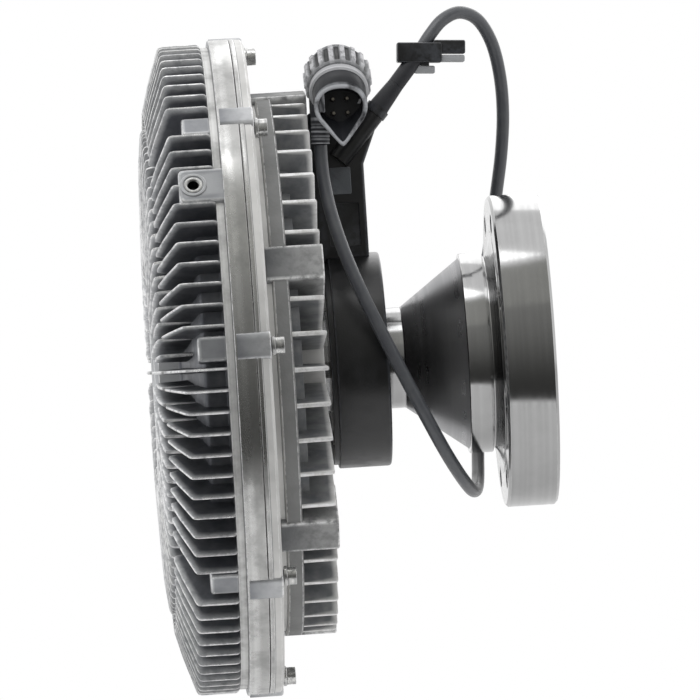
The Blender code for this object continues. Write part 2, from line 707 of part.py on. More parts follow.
def make_bearing(prefix, front, width, bore, outer):
    """Deep groove ball bearing: inner ring, outer ring and a cage with its balls."""
    back = front + width
    middle = (front + back) / 2
    groove = width * RACE_WIDTH_SHARE
    inner_top = bore + BEARING_RING_WALL
    outer_bottom = outer - BEARING_RING_WALL
    inner = turned(prefix + "_bearing_inner", [
        (front, bore),
        (back, bore),
        (back, inner_top),
        (middle + groove, inner_top),
        (middle, inner_top - RACE_DEPTH),
        (middle - groove, inner_top),
        (front, inner_top),
    ], ROUND_SMALL, "bearing_steel")
    ring = turned(prefix + "_bearing_outer", [
        (front, outer_bottom),
        (middle - groove, outer_bottom),
        (middle, outer_bottom + RACE_DEPTH),
        (middle + groove, outer_bottom),
        (back, outer_bottom),
        (back, outer),
        (front, outer),
    ], ROUND_MEDIUM, "bearing_steel")
    pitch = (inner_top + outer_bottom) / 2
    ball = (outer_bottom - inner_top) / 2 + RACE_DEPTH - FIT - TINY
    half = ball * CAGE_WIDTH_SHARE
    cage = turned(prefix + "_bearing_cage", [
        (middle - half, pitch - CAGE_WALL / 2),
        (middle + half, pitch - CAGE_WALL / 2),
        (middle + half, pitch + CAGE_WALL / 2),
        (middle - half, pitch + CAGE_WALL / 2),
    ], ROUND_SMALL, "brass")
    combine(cage, make_balls(middle, pitch, ball), "UNION")
    return inner, ring, cage


def make_balls(x, pitch, radius):
    """The balls of a bearing as one set of spheres."""
    bm = bmesh.new()
    for angle in spaced(BALL_COUNT):
        place = Matrix.Translation(on_axis(x, pitch, angle)) @ Matrix.Rotation(angle + math.pi / 2, 4, "X")
        bmesh.ops.create_icosphere(bm, subdivisions=1, radius=radius, matrix=place)
    mesh = bpy.data.meshes.new("balls")
    bm.to_mesh(mesh)
    bm.free()
    made = bpy.data.objects.new("balls", mesh)
    bpy.context.scene.collection.objects.link(made)
    mesh.materials.append(material("bearing_steel"))
    return made


def circlip(name, front, outer):
    """Open spring ring seated in a groove of the bore."""
    return turned(name, [
        (front, outer - CIRCLIP_INSIDE),
        (front + CIRCLIP_WIDTH, outer - CIRCLIP_INSIDE),
        (front + CIRCLIP_WIDTH, outer),
        (front, outer),
    ], CIRCLIP_STEPS, "bearing_steel", sweep=2 * math.pi - CIRCLIP_GAP_ANGLE,
        start=(CIRCLIP_GAP_ANGLE + math.pi) / 2)


def cover_outline():
    """Section of the front cover without its fins: dome, rim, flange and chamber."""
    floor = CHAMBER_FLOOR_X
    recess = floor - COVER_RECESS_DEPTH
    boss_x = COVER_FRONT_X + COVER_BOSS_DROP
    outline = [
        (recess, 0.0),
        (boss_x, 0.0),
        (boss_x, COVER_BOSS_RADIUS),
        (boss_x + COVER_BOSS_CHAMFER, COVER_BOSS_RADIUS + COVER_BOSS_CHAMFER),
        (DOME_ROOT_X, COVER_BOSS_RADIUS + 2 * COVER_BOSS_CHAMFER),
        (DOME_ROOT_X, FRONT_FIN_TOP_RADIUS),
        (DOME_RING_X, DOME_RING_RADIUS),
        (RIM_SHOULDER_X, RIM_ROOT_RADIUS),
        (COVER_GROOVE_FRONT, RIM_ROOT_RADIUS),
        (COVER_GROOVE_FRONT, COVER_GROOVE_RADIUS),
        (COVER_GROOVE_BACK, COVER_GROOVE_RADIUS),
        (COVER_GROOVE_BACK, HOUSING_FLANGE_RADIUS),
        (COVER_SEAM, HOUSING_FLANGE_RADIUS),
        (COVER_SEAM, CHAMBER_RADIUS),
        (floor, CHAMBER_RADIUS),
    ]
    land_top = ROTOR_FRONT + LAND_RING_HEIGHT - LAND_RING_CLEARANCE
    for radius in reversed(LAND_RING_RADII):
        outline += [
            (floor, radius + LAND_RING_HALF_WIDTH),
            (land_top, radius + LAND_RING_HALF_WIDTH),
            (land_top, radius - LAND_RING_HALF_WIDTH),
            (floor, radius - LAND_RING_HALF_WIDTH),
        ]
    outline += [(floor, COVER_RECESS_RADIUS), (recess, COVER_RECESS_RADIUS)]
    return outline


def rim_fin_outline():
    """Outline of one rim fin: along the rim, over the edge and onto the dome."""
    rim_tip_x = COVER_GROOVE_FRONT - RIM_FIN_LENGTH
    root = RIM_ROOT_RADIUS - FIN_ROOTED
    return [
        (COVER_GROOVE_FRONT + FIN_ROOTED, root),
        (COVER_GROOVE_FRONT + FIN_ROOTED, COVER_GROOVE_RADIUS - RIM_FIN_HEEL),
        (COVER_GROOVE_FRONT - 2 * RIM_FIN_HEEL, RIM_FIN_TIP_RADIUS),
        (rim_tip_x, RIM_FIN_TIP_RADIUS),
        (RIM_FIN_TOP_X, RIM_FIN_TOP_RADIUS),
        (RIM_FIN_TOP_X, RIM_FIN_INNER_RADIUS),
        (DOME_RING_X + 3 * FIN_ROOTED, RIM_FIN_INNER_RADIUS),
        (RIM_SHOULDER_X + 2 * FIN_ROOTED, root),
    ]


def front_fin_outline():
    """Outline of one fin on the dome."""
    return [
        (DOME_ROOT_X + FIN_ROOTED, FRONT_FIN_INNER_RADIUS),
        (COVER_FRONT_X, FRONT_FIN_INNER_RADIUS),
        (COVER_FRONT_X, FRONT_FIN_TOP_RADIUS),
        (FRONT_FIN_KNEE_X, FRONT_FIN_KNEE_RADIUS),
        (FRONT_FIN_OUTER_X, FRONT_FIN_OUTER_RADIUS),
        (DOME_RING_X + FIN_ROOTED, FRONT_FIN_OUTER_RADIUS),
        (DOME_ROOT_X + 2 * FIN_ROOTED, FRONT_FIN_TOP_RADIUS),
    ]


def angle_gap(a, b):
    """Smallest angle between two directions round the axis."""
    return abs((a - b + math.pi) % (2 * math.pi) - math.pi)


def clear_of(angles, places, half_width, radius):
    """Keep the angles whose fin does not run through a boss or pad at the given places."""
    reach = half_width / radius
    return [a for a in angles if all(angle_gap(a, p) > reach for p in places)]


def make_front_cover():
    """Finned front cover with its screw bosses and filler pad."""
    cover = turned("front_cover", cover_outline(), ROUND_LARGE, "cast_aluminium")
    screws = spaced(SCREW_COUNT, SCREW_FIRST_ANGLE)
    boss_reach = (SCREW_BOSS_WIDTH + RIM_FIN_THICKNESS) / 2 + FIT
    rim = clear_of(spaced(RIM_FIN_COUNT), screws, boss_reach, SCREW_PITCH_RADIUS)
    pad_reach = (PAD_WIDTH + RIM_FIN_THICKNESS) / 2
    rim = clear_of(rim, [PAD_ANGLE], pad_reach, RIM_FIN_TIP_RADIUS)
    combine(cover, plates("rim_fins", rim_fin_outline(), rim, RIM_FIN_THICKNESS, "cast_aluminium"), "UNION")
    front = spaced(FRONT_FIN_COUNT)
    combine(cover, plates("front_fins", front_fin_outline(), front, FRONT_FIN_THICKNESS, "cast_aluminium"),
            "UNION")
    combine(cover, plates("screw_bosses", [
        (COVER_GROOVE_FRONT - SCREW_BOSS_LENGTH, RIM_ROOT_RADIUS - 2 * FIN_ROOTED),
        (COVER_GROOVE_FRONT - SCREW_BOSS_LENGTH, SCREW_BOSS_OUTER_RADIUS - RIM_FIN_HEEL),
        (COVER_GROOVE_FRONT - SCREW_BOSS_LENGTH + RIM_FIN_HEEL, SCREW_BOSS_OUTER_RADIUS),
        (COVER_GROOVE_FRONT + FIN_ROOTED, SCREW_BOSS_OUTER_RADIUS),
        (COVER_GROOVE_FRONT + FIN_ROOTED, RIM_ROOT_RADIUS - 2 * FIN_ROOTED),
    ], screws, SCREW_BOSS_WIDTH, "cast_aluminium"), "UNION")
    holes = []
    hole = SCREW_RADIUS + FIT
    for angle in screws:
        tip = on_axis(REAR_FLANGE_BACK - SCREW_LENGTH - CUT_OVER, SCREW_PITCH_RADIUS, angle)
        holes.append((tip, on_axis(COVER_SEAM + CUT_OVER, SCREW_PITCH_RADIUS, angle), hole, hole))
    pad_back = COVER_GROOVE_BACK + FIN_ROOTED
    pad = plates("filler_pad", [
        (PAD_FRONT_X, RIM_ROOT_RADIUS - 2 * FIN_ROOTED),
        (PAD_FRONT_X, RIM_FIN_TIP_RADIUS),
        (pad_back, RIM_FIN_TIP_RADIUS),
        (pad_back, RIM_ROOT_RADIUS - 2 * FIN_ROOTED),
    ], [PAD_ANGLE], PAD_WIDTH, "cast_aluminium")
    combine(cover, pad, "UNION")
    combine(cover, rods("screw_holes", holes, HOLE_STEPS, "cast_aluminium"), "DIFFERENCE")
    seat = RIM_FIN_TIP_RADIUS - PLUG_HEAD_HEIGHT - FIT
    bottom = RIM_FIN_TIP_RADIUS - PLUG_LENGTH - FIT
    plug_hole = rods("plug_hole", [
        (on_axis(PLUG_X, bottom, PAD_ANGLE), on_axis(PLUG_X, seat + TINY, PAD_ANGLE),
         PLUG_RADIUS + FIT, PLUG_RADIUS + FIT),
    ], HOLE_STEPS, "cast_aluminium")
    combine(cover, plug_hole, "DIFFERENCE")
    recess = rods("plug_recess", [
        (on_axis(PLUG_X, seat, PAD_ANGLE), on_axis(PLUG_X, RIM_FIN_TIP_RADIUS + CUT_OVER, PAD_ANGLE),
         PLUG_HEAD_RADIUS + FIT, PLUG_HEAD_RADIUS + FIT),
    ], PLUG_STEPS, "cast_aluminium")
    combine(cover, recess, "DIFFERENCE")
    return cover


def make_filler_plug():
    """Plug that closes the filling hole, its head flush with the pad."""
    head = RIM_FIN_TIP_RADIUS - PLUG_HEAD_HEIGHT
    low = RIM_FIN_TIP_RADIUS - PLUG_LENGTH
    plug = rods("filler_plug", [
        (on_axis(PLUG_X, head, PAD_ANGLE), on_axis(PLUG_X, RIM_FIN_TIP_RADIUS, PAD_ANGLE),
         PLUG_HEAD_RADIUS, PLUG_HEAD_RADIUS - TINY),
    ], PLUG_STEPS, "bright_screw")
    stem = rods("plug_stem", [
        (on_axis(PLUG_X, low, PAD_ANGLE), on_axis(PLUG_X, head + TINY, PAD_ANGLE),
         PLUG_RADIUS, PLUG_RADIUS),
    ], HOLE_STEPS, "bright_screw")
    combine(plug, stem, "UNION")
    drive = rods("plug_drive", [
        (on_axis(PLUG_X, head + TINY, PAD_ANGLE), on_axis(PLUG_X, RIM_FIN_TIP_RADIUS + CUT_OVER, PAD_ANGLE),
         PLUG_RADIUS, PLUG_RADIUS),
    ], SCREW_STEPS, "bright_screw")
    combine(plug, drive, "DIFFERENCE")
    return plug


def rear_outline():
    """Section of the rear housing without its ribs."""
    bore = MAIN_BEARING_RADIUS + FIT
    lip_back = MAIN_BEARING_FRONT - FIT
    lip_front = lip_back - REAR_LIP_THICKNESS
    clip_front = MAIN_BEARING_BACK + FIT
    clip_back = clip_front + CIRCLIP_WIDTH + 2 * FIT
    groove = bore + CIRCLIP_GROOVE_DEPTH
    pole_out = POLE_RING_RADIUS + FIT
    pole_in = POLE_RING_RADIUS - POLE_RING_WALL - FIT
    pole_end = REAR_FACE_X - POLE_RING_LENGTH
    seal_half = SEAL_HALF_WIDTH + FIT
    seal_end = REAR_SEAM + SEAL_DEPTH + FIT
    return [
        (REAR_SEAM, HOUSING_FLANGE_RADIUS),
        (REAR_FLANGE_BACK, HOUSING_FLANGE_RADIUS),
        (REAR_FLANGE_BACK, REAR_NECK_RADIUS),
        (REAR_FLANGE_BACK + REAR_NECK_LENGTH, REAR_NECK_RADIUS),
        (REAR_FLANGE_BACK + REAR_NECK_LENGTH, REAR_BODY_RADIUS),
        (REAR_WALL_X, REAR_BODY_RADIUS),
        (REAR_WALL_X, REAR_BOSS_RADIUS),
        (REAR_FACE_X, REAR_BOSS_RADIUS),
        (REAR_FACE_X, pole_out),
        (pole_end, pole_out),
        (pole_end, pole_in),
        (REAR_FACE_X, pole_in),
        (REAR_FACE_X, bore),
        (clip_back, bore),
        (clip_back, groove),
        (clip_front, groove),
        (clip_front, bore),
        (lip_back, bore),
        (lip_back, REAR_LIP_RADIUS),
        (lip_front, REAR_LIP_RADIUS),
        (lip_front, REAR_INNER_BOSS_RADIUS),
        (REAR_FLOOR_X, REAR_INNER_BOSS_RADIUS),
        (REAR_FLOOR_X, REAR_FLOOR_RADIUS),
        (WORKING_FACE_X, REAR_FLOOR_RADIUS + REAR_FLOOR_SLOPE),
        (WORKING_FACE_X, CHAMBER_RADIUS),
        (REAR_SEAM, CHAMBER_RADIUS),
        (REAR_SEAM, SEAL_RADIUS - seal_half),
        (seal_end, SEAL_RADIUS - seal_half),
        (seal_end, SEAL_RADIUS + seal_half),
        (REAR_SEAM, SEAL_RADIUS + seal_half),
    ]


def make_rear_housing():
    """Ribbed rear housing with the fan's mounting bosses."""
    rear = turned("rear_housing", rear_outline(), ROUND_LARGE, "cast_aluminium")
    bosses = spaced(FAN_BOSS_COUNT, FAN_BOSS_FIRST_ANGLE)
    ribs = clear_of(spaced(RIB_COUNT, RIB_FIRST_ANGLE), bosses, FAN_BOSS_WIDTH / 2, RIB_OUTER_RADIUS)
    combine(rear, plates("ribs", [
        (REAR_WALL_X - FIN_ROOTED, RIB_INNER_RADIUS),
        (REAR_WALL_X - FIN_ROOTED, RIB_OUTER_RADIUS),
        (REAR_FACE_X - TINY, RIB_OUTER_RADIUS),
        (REAR_FACE_X - TINY, RIB_INNER_RADIUS),
    ], ribs, RIB_THICKNESS, "cast_aluminium"), "UNION")
    combine(rear, plates("fan_bosses", [
        (FAN_BOSS_BACK_X, FAN_BOSS_INNER_RADIUS),
        (FAN_BOSS_BACK_X, FAN_BOSS_OUTER_RADIUS),
        (FAN_BOSS_FACE_X, FAN_BOSS_OUTER_RADIUS),
        (FAN_BOSS_FACE_X, FAN_BOSS_INNER_RADIUS),
    ], bosses, FAN_BOSS_WIDTH, "cast_aluminium"), "UNION")
    holes = []
    for angle in bosses:
        start = on_axis(FAN_BOSS_FACE_X - FAN_HOLE_DEPTH, FAN_HOLE_PITCH_RADIUS, angle)
        end = on_axis(FAN_BOSS_FACE_X + CUT_OVER, FAN_HOLE_PITCH_RADIUS, angle)
        holes.append((start, end, FAN_HOLE_RADIUS, FAN_HOLE_RADIUS))
    hole = SCREW_RADIUS + FIT
    for angle in spaced(SCREW_COUNT, SCREW_FIRST_ANGLE):
        start = on_axis(REAR_SEAM - CUT_OVER, SCREW_PITCH_RADIUS, angle)
        end = on_axis(REAR_FLANGE_BACK + CUT_OVER, SCREW_PITCH_RADIUS, angle)
        holes.append((start, end, hole, hole))
    combine(rear, rods("rear_holes", holes, HOLE_STEPS, "cast_aluminium"), "DIFFERENCE")
    return rear


def make_screws():
    """Cap screws that hold the cover to the rear housing, put in from the engine side."""
    made = []
    under_head = REAR_FLANGE_BACK + FIT
    for number, angle in enumerate(spaced(SCREW_COUNT, SCREW_FIRST_ANGLE), 1):
        shank = rods(f"cover_screw_{number}", [
            (on_axis(under_head - SCREW_LENGTH, SCREW_PITCH_RADIUS, angle),
             on_axis(under_head + TINY, SCREW_PITCH_RADIUS, angle), SCREW_RADIUS, SCREW_RADIUS),
        ], SCREW_STEPS, "bright_screw")
        head = rods("screw_head", [
            (on_axis(under_head, SCREW_PITCH_RADIUS, angle),
             on_axis(under_head + SCREW_HEAD_HEIGHT, SCREW_PITCH_RADIUS, angle),
             SCREW_HEAD_RADIUS, SCREW_HEAD_RADIUS - FIT),
        ], HOLE_STEPS, "bright_screw")
        combine(shank, head, "UNION")
        made.append(shank)
    return made


def make_housing_inserts():
    """Pole ring, seal ring and bearing circlip of the rear housing."""
    pole = turned("pole_ring", [
        (REAR_FACE_X - POLE_RING_LENGTH + FIT, POLE_RING_RADIUS - POLE_RING_WALL),
        (REAR_FACE_X, POLE_RING_RADIUS - POLE_RING_WALL),
        (REAR_FACE_X, POLE_RING_RADIUS),
        (REAR_FACE_X - POLE_RING_LENGTH + FIT, POLE_RING_RADIUS),
    ], ROUND_LARGE, "machined_steel")
    seal = turned("cover_seal", [
        (REAR_SEAM, SEAL_RADIUS - SEAL_HALF_WIDTH),
        (REAR_SEAM + SEAL_DEPTH, SEAL_RADIUS - SEAL_HALF_WIDTH),
        (REAR_SEAM + SEAL_DEPTH, SEAL_RADIUS + SEAL_HALF_WIDTH),
        (REAR_SEAM, SEAL_RADIUS + SEAL_HALF_WIDTH),
    ], ROUND_LARGE, "black_rubber")
    clip = circlip("main_circlip", MAIN_BEARING_BACK + 2 * FIT,
                   MAIN_BEARING_RADIUS + CIRCLIP_GROOVE_DEPTH - FIT)
    return [pole, seal, clip]


def magnet_outline():
    """Section of the magnet moulding: a cup that is open towards the rear housing."""
    inner = COIL_RADIUS + FIT
    core_out = MAGNET_BEARING_RADIUS + FIT + CORE_WALL + FIT
    wall_x = MAGNET_BACK_X - MAGNET_BACK_WALL
    return [
        (MAGNET_FRONT_X, inner),
        (MAGNET_FRONT_X, MAGNET_RADIUS - MAGNET_STEP),
        (MAGNET_FRONT_X + MAGNET_STEP_LENGTH, MAGNET_RADIUS - MAGNET_STEP),
        (MAGNET_FRONT_X + MAGNET_STEP_LENGTH, MAGNET_RADIUS),
        (MAGNET_BACK_X - FLANGE_CHAMFER, MAGNET_RADIUS),
        (MAGNET_BACK_X, MAGNET_RADIUS - FLANGE_CHAMFER),
        (MAGNET_BACK_X, MAGNET_EYE_RADIUS),
        (wall_x, MAGNET_EYE_RADIUS),
        (wall_x, core_out),
        (wall_x, inner),
    ]


def arm_outline():
    """Side outline of the arm and of the holder above it, as (x, z)."""
    return [
        (ARM_LEFT_X, ARM_ROOT_Z),
        (ARM_WAIST_X, ARM_ROOT_Z),
        (ARM_WAIST_X, ARM_WAIST_Z),
        (ARM_SHOULDER_X, ARM_SHOULDER_Z),
        (ARM_SHOULDER_X, ARM_SHOULDER_Z + ARM_SHOULDER_STEP),
        (ARM_HOLDER_RIGHT_X, ARM_TOP_Z),
        (ARM_LEFT_X, ARM_TOP_Z),
    ]


def make_magnet_housing():
    """Black moulding of ring, arm, connector holder and cable outlet."""
    ring = turned("magnet_housing", magnet_outline(), ROUND_MEDIUM, "black_plastic")
    x_axis = Vector((1.0, 0.0, 0.0))
    z_axis = Vector((0.0, 0.0, 1.0))
    arm = slab("arm", arm_outline(), Vector((0.0, ARM_HALF_DEPTH, 0.0)), x_axis, z_axis,
               2 * ARM_HALF_DEPTH, "black_plastic")
    bevel_edges(arm, ARM_BEVEL)
    reach = MAGNET_RADIUS - MAGNET_STEP - MAGNET_STEP / 2
    inside = turned("arm_clearance", [
        (MAGNET_FRONT_X - CUT_OVER, 0.0),
        (MAGNET_FRONT_X - CUT_OVER, reach),
        (MAGNET_BACK_X + CUT_OVER, reach),
        (MAGNET_BACK_X + CUT_OVER, 0.0),
    ], ROUND_MEDIUM, "black_plastic")
    combine(arm, inside, "DIFFERENCE")
    combine(ring, arm, "UNION")
    holder = slab("holder", [
        (ARM_LEFT_X + ARM_SHOULDER_STEP, ARM_SHOULDER_Z),
        (ARM_HOLDER_RIGHT_X, ARM_SHOULDER_Z),
        (ARM_HOLDER_RIGHT_X, ARM_HOLDER_Z),
        (ARM_LEFT_X + ARM_SHOULDER_STEP, ARM_HOLDER_Z),
    ], Vector((0.0, HOLDER_FACE_Y + ARM_HOLDER_DEPTH, 0.0)), x_axis, z_axis, ARM_HOLDER_DEPTH,
        "black_plastic")
    combine(ring, holder, "UNION")
    panel = slab("panel", [
        (ARM_LEFT_X + ARM_PANEL_MARGIN, MAGNET_RADIUS + ARM_PANEL_MARGIN),
        (ARM_WAIST_X - ARM_PANEL_MARGIN, MAGNET_RADIUS + ARM_PANEL_MARGIN),
        (ARM_WAIST_X - ARM_PANEL_MARGIN, ARM_WAIST_Z - ARM_PANEL_MARGIN),
        (ARM_LEFT_X + ARM_PANEL_MARGIN, ARM_WAIST_Z - ARM_PANEL_MARGIN),
    ], Vector((0.0, -ARM_HALF_DEPTH + ARM_PANEL_DEPTH, 0.0)), x_axis, z_axis, 2 * ARM_PANEL_DEPTH,
        "black_plastic")
    combine(ring, panel, "DIFFERENCE")
    outlet = rods("outlet", [(SLEEVE_ROOT, SLEEVE_TIP, SLEEVE_ROOT_RADIUS, SLEEVE_ROOT_RADIUS)],
                  HOLE_STEPS, "black_plastic")
    combine(ring, outlet, "UNION")
    return ring


def bevel_edges(item, width):
    """Round the edges of a moulded block."""
    bevel = item.modifiers.new("edge_round", "BEVEL")
    bevel.width = width
    bevel.segments = 1
    evaluated = item.evaluated_get(bpy.context.evaluated_depsgraph_get())
    item.data = bpy.data.meshes.new_from_object(evaluated)
    item.modifiers.clear()


def make_magnet_inserts():
    """Steel core, coil and circlip inside the magnet moulding."""
    bore = MAGNET_BEARING_RADIUS + FIT
    core_out = bore + CORE_WALL
    wall_x = MAGNET_BACK_X - MAGNET_BACK_WALL - FIT
    clip_back = MAGNET_BEARING_FRONT - FIT
    clip_front = clip_back - CIRCLIP_WIDTH - 2 * FIT
    core = turned("magnet_core", [
        (MAGNET_FRONT_X + FIT, bore),
        (clip_front, bore),
        (clip_front, bore + CIRCLIP_GROOVE_DEPTH),
        (clip_back, bore + CIRCLIP_GROOVE_DEPTH),
        (clip_back, bore),
        (wall_x, bore),
        (wall_x, core_out),
        (MAGNET_FRONT_X + FIT, core_out),
    ], ROUND_MEDIUM, "machined_steel")
    coil = turned("coil", [
        (MAGNET_FRONT_X + MAGNET_STEP_LENGTH, core_out + FIT),
        (wall_x, core_out + FIT),
        (wall_x, COIL_RADIUS),
        (MAGNET_FRONT_X + MAGNET_STEP_LENGTH, COIL_RADIUS),
    ], ROUND_MEDIUM, "copper_winding")
    clip = circlip("magnet_circlip", clip_front + FIT, bore + CIRCLIP_GROOVE_DEPTH - FIT)
    return [core, coil, clip]


def smooth_route(points, spacing):
    """Read evenly spaced points from a smooth curve through the route's own points."""
    knots = [Vector(p) * MM for p in points]
    ends = [2 * knots[0] - knots[1]] + knots + [2 * knots[-1] - knots[-2]]
    fine = []
    for a, b, c, d in zip(ends, ends[1:], ends[2:], ends[3:]):
        for k in range(ROUTE_STEPS):
            t = k / ROUTE_STEPS
            fine.append(0.5 * (2 * b + (c - a) * t + (2 * a - 5 * b + 4 * c - d) * t**2
                               + (3 * b - a - 3 * c + d) * t**3))
    fine.append(knots[-1])
    total = sum((q - p).length for p, q in zip(fine, fine[1:]))
    count = round(total / spacing)
    wanted = [total * k / count for k in range(count + 1)]
    picked = [fine[0]]
    walked = 0.0
    for p, q in zip(fine, fine[1:]):
        step = (q - p).length
        while len(picked) < count and walked + step >= wanted[len(picked)]:
            picked.append(p.lerp(q, (wanted[len(picked)] - walked) / step))
        walked += step
    picked.append(fine[-1])
    return picked


def make_cable():
    """Cable along its route, one tube from the sleeve to the connector."""
    curve = bpy.data.curves.new("cable", "CURVE")
    curve.dimensions = "3D"
    curve.bevel_depth = CABLE_RADIUS
    curve.bevel_resolution = 2
    curve.use_fill_caps = True
    points = smooth_route(CABLE_ROUTE_MM, CABLE_POINT_SPACING)
    spline = curve.splines.new("POLY")
    spline.points.add(len(points) - 1)
    for slot, place in zip(spline.points, points):
        slot.co = (*place, 1.0)
    cable = bpy.data.objects.new("cable", curve)
    curve.materials.append(material("cable_jacket"))
    bpy.context.scene.collection.objects.link(cable)
    return cable


def make_sleeve():
    """Tapered sleeve between the arm's outlet and the cable."""
    first = Vector(CABLE_ROUTE_MM[0]) * MM
    along = (first - SLEEVE_TIP).normalized()
    return rods("cable_sleeve", [
        (SLEEVE_TIP + along * FIT, first - along * FIT, SLEEVE_ROOT_RADIUS - TINY, SLEEVE_END_RADIUS),
    ], HOLE_STEPS, "black_rubber")


def make_clip():
    """Clip on the cable: a block round it with a tongue to the engine side."""
    centre = Vector(CLIP_CENTRE_MM) * MM
    middle = CABLE_ROUTE_MM.index(CLIP_CENTRE_MM)
    along = (Vector(CABLE_ROUTE_MM[middle + 1]) - Vector(CABLE_ROUTE_MM[middle - 1])).normalized()
    block = rods("cable_clip", [
        (centre - along * CLIP_LENGTH / 2, centre + along * CLIP_LENGTH / 2, CLIP_OUTER, CLIP_OUTER),
    ], HOLE_STEPS, "black_plastic")
    tab = slab("clip_tab", [
        (0.0, -CLIP_TAB_HEIGHT / 2),
        (CLIP_TAB_LENGTH, -CLIP_TAB_HEIGHT / 2),
        (CLIP_TAB_LENGTH, CLIP_TAB_HEIGHT / 2),
        (0.0, CLIP_TAB_HEIGHT / 2),
    ], centre + Vector((0.0, CLIP_TAB_DEPTH / 2, 0.0)), Vector((1.0, 0.0, 0.0)), Vector((0.0, 0.0, 1.0)),
        CLIP_TAB_DEPTH, "black_plastic")
    combine(block, tab, "UNION")
    hole = CABLE_RADIUS + 2 * FIT
    reach = CLIP_LENGTH
    combine(block, rods("clip_hole", [(centre - along * reach, centre + along * reach, hole, hole)],
                        HOLE_STEPS, "black_plastic"), "DIFFERENCE")
    return block


def connector_axis():
    """Direction in which the connector's socket looks."""
    return Vector((0.0, -math.cos(CONNECTOR_TILT), -math.sin(CONNECTOR_TILT)))


def hood_outline(shrink):
    """Drop-shaped outline of the connector's hood: half a circle over a rounded point."""
    radius = CONNECTOR_RADIUS - shrink
    tip = HOOD_TIP - shrink
    points = []
    for k in range(HOOD_STEPS + 1):
        a = math.pi * k / HOOD_STEPS
        points.append((radius * math.cos(a), radius * math.sin(a)))
    points += [
        (-radius * HOOD_SHOULDER_WIDTH, -radius * HOOD_SHOULDER_DROP),
        (-radius * HOOD_POINT_WIDTH, -tip * HOOD_POINT_DROP),
        (0.0, -tip),
        (radius * HOOD_POINT_WIDTH, -tip * HOOD_POINT_DROP),
        (radius * HOOD_SHOULDER_WIDTH, -radius * HOOD_SHOULDER_DROP),
    ]
    return points


def make_connector():
    """Connector body: round barrel lofted into a drop-shaped hood, with the cable outlet below."""
    axis = connector_axis()
    side, up = Vector((1.0, 0.0, 0.0)), axis.cross(Vector((1.0, 0.0, 0.0)))
    if up.z < 0:
        up = -up
    outline = hood_outline(0.0)
    count = len(outline)
    radius = CONNECTOR_RADIUS
    back = CONNECTOR_CENTRE - axis * CONNECTOR_BARREL
    rings = []
    for centre in (back, CONNECTOR_CENTRE):
        ring = []
        for a, b in outline:
            angle = math.atan2(b, a)
            ring.append(centre + side * radius * math.cos(angle) + up * radius * math.sin(angle))
        rings.append(ring)
    vertical = Vector((0.0, 0.0, 1.0))
    rings.append([HOOD_CENTRE + side * a + vertical * b for a, b in outline])
    vertices = [p for ring in rings for p in ring]
    faces = [list(range(count)), [2 * count + i for i in reversed(range(count))]]
    for level in range(2):
        for i in range(count):
            j = (i + 1) % count
            low, high = level * count, (level + 1) * count
            faces.append([low + j, low + i, high + i, high + j])
    body = add_object("connector_body", vertices, faces, "black_plastic")
    bm = bmesh.new()
    bm.from_mesh(body.data)
    bmesh.ops.recalc_face_normals(bm, faces=bm.faces)
    bm.to_mesh(body.data)
    bm.free()
    cable_end = Vector(CABLE_ROUTE_MM[-1]) * MM
    outlet_start = cable_end + Vector((0.0, 0.0, 2 * FIT))
    outlet_end = Vector((cable_end.x + MM, cable_end.y, OUTLET_TOP_Z))
    combine(body, rods("cable_outlet", [(outlet_start, outlet_end, OUTLET_RADIUS, OUTLET_RADIUS)],
                       HOLE_STEPS, "black_plastic"), "UNION")
    foot_start = CONNECTOR_CENTRE - axis * (CONNECTOR_BARREL * FOOT_PLACE_SHARE)
    foot_end = Vector((foot_start.x, HOLDER_FACE_Y - FIT, foot_start.z))
    combine(body, rods("foot", [(foot_start, foot_end, FOOT_RADIUS, FOOT_RADIUS)], HOLE_STEPS,
                       "black_plastic"), "UNION")
    mouth = HOOD_CENTRE - Vector((0.0, MM, 0.0))
    socket = slab("socket", hood_outline(HOOD_WALL), mouth + Vector((0.0, SOCKET_DEPTH + MM, 0.0)),
                  side, vertical, SOCKET_DEPTH + MM, "black_plastic")
    combine(body, socket, "DIFFERENCE")
    return body


def make_connector_ring():
    """Knurled coupling ring that turns on the connector's barrel."""
    axis = connector_axis()
    side, up = frame_along(axis)
    inner = CONNECTOR_RADIUS + FIT
    front = CONNECTOR_CENTRE - axis * FIT
    back = front - axis * RING_LENGTH
    columns = RING_RIBS * 2
    rings = []
    for centre, outer in ((front, True), (back, True), (back, False), (front, False)):
        ring = []
        for k in range(columns):
            a = 2 * math.pi * k / columns
            radius = (RING_RADIUS - (k % 2) * RING_RIB_HEIGHT) if outer else inner
            ring.append(centre + (side * math.cos(a) + up * math.sin(a)) * radius)
        rings.append(ring)
    vertices = [p for ring in rings for p in ring]
    faces = []
    for level in range(4):
        low, high = level * columns, ((level + 1) % 4) * columns
        for k in range(columns):
            m = (k + 1) % columns
            faces.append([low + k, low + m, high + m, high + k])
    ring = add_object("connector_ring", vertices, faces, "black_plastic")
    bm = bmesh.new()
    bm.from_mesh(ring.data)
    bmesh.ops.recalc_face_normals(bm, faces=bm.faces)
    bm.to_mesh(ring.data)
    bm.free()
    set_origin(ring, CONNECTOR_CENTRE)
    return ring


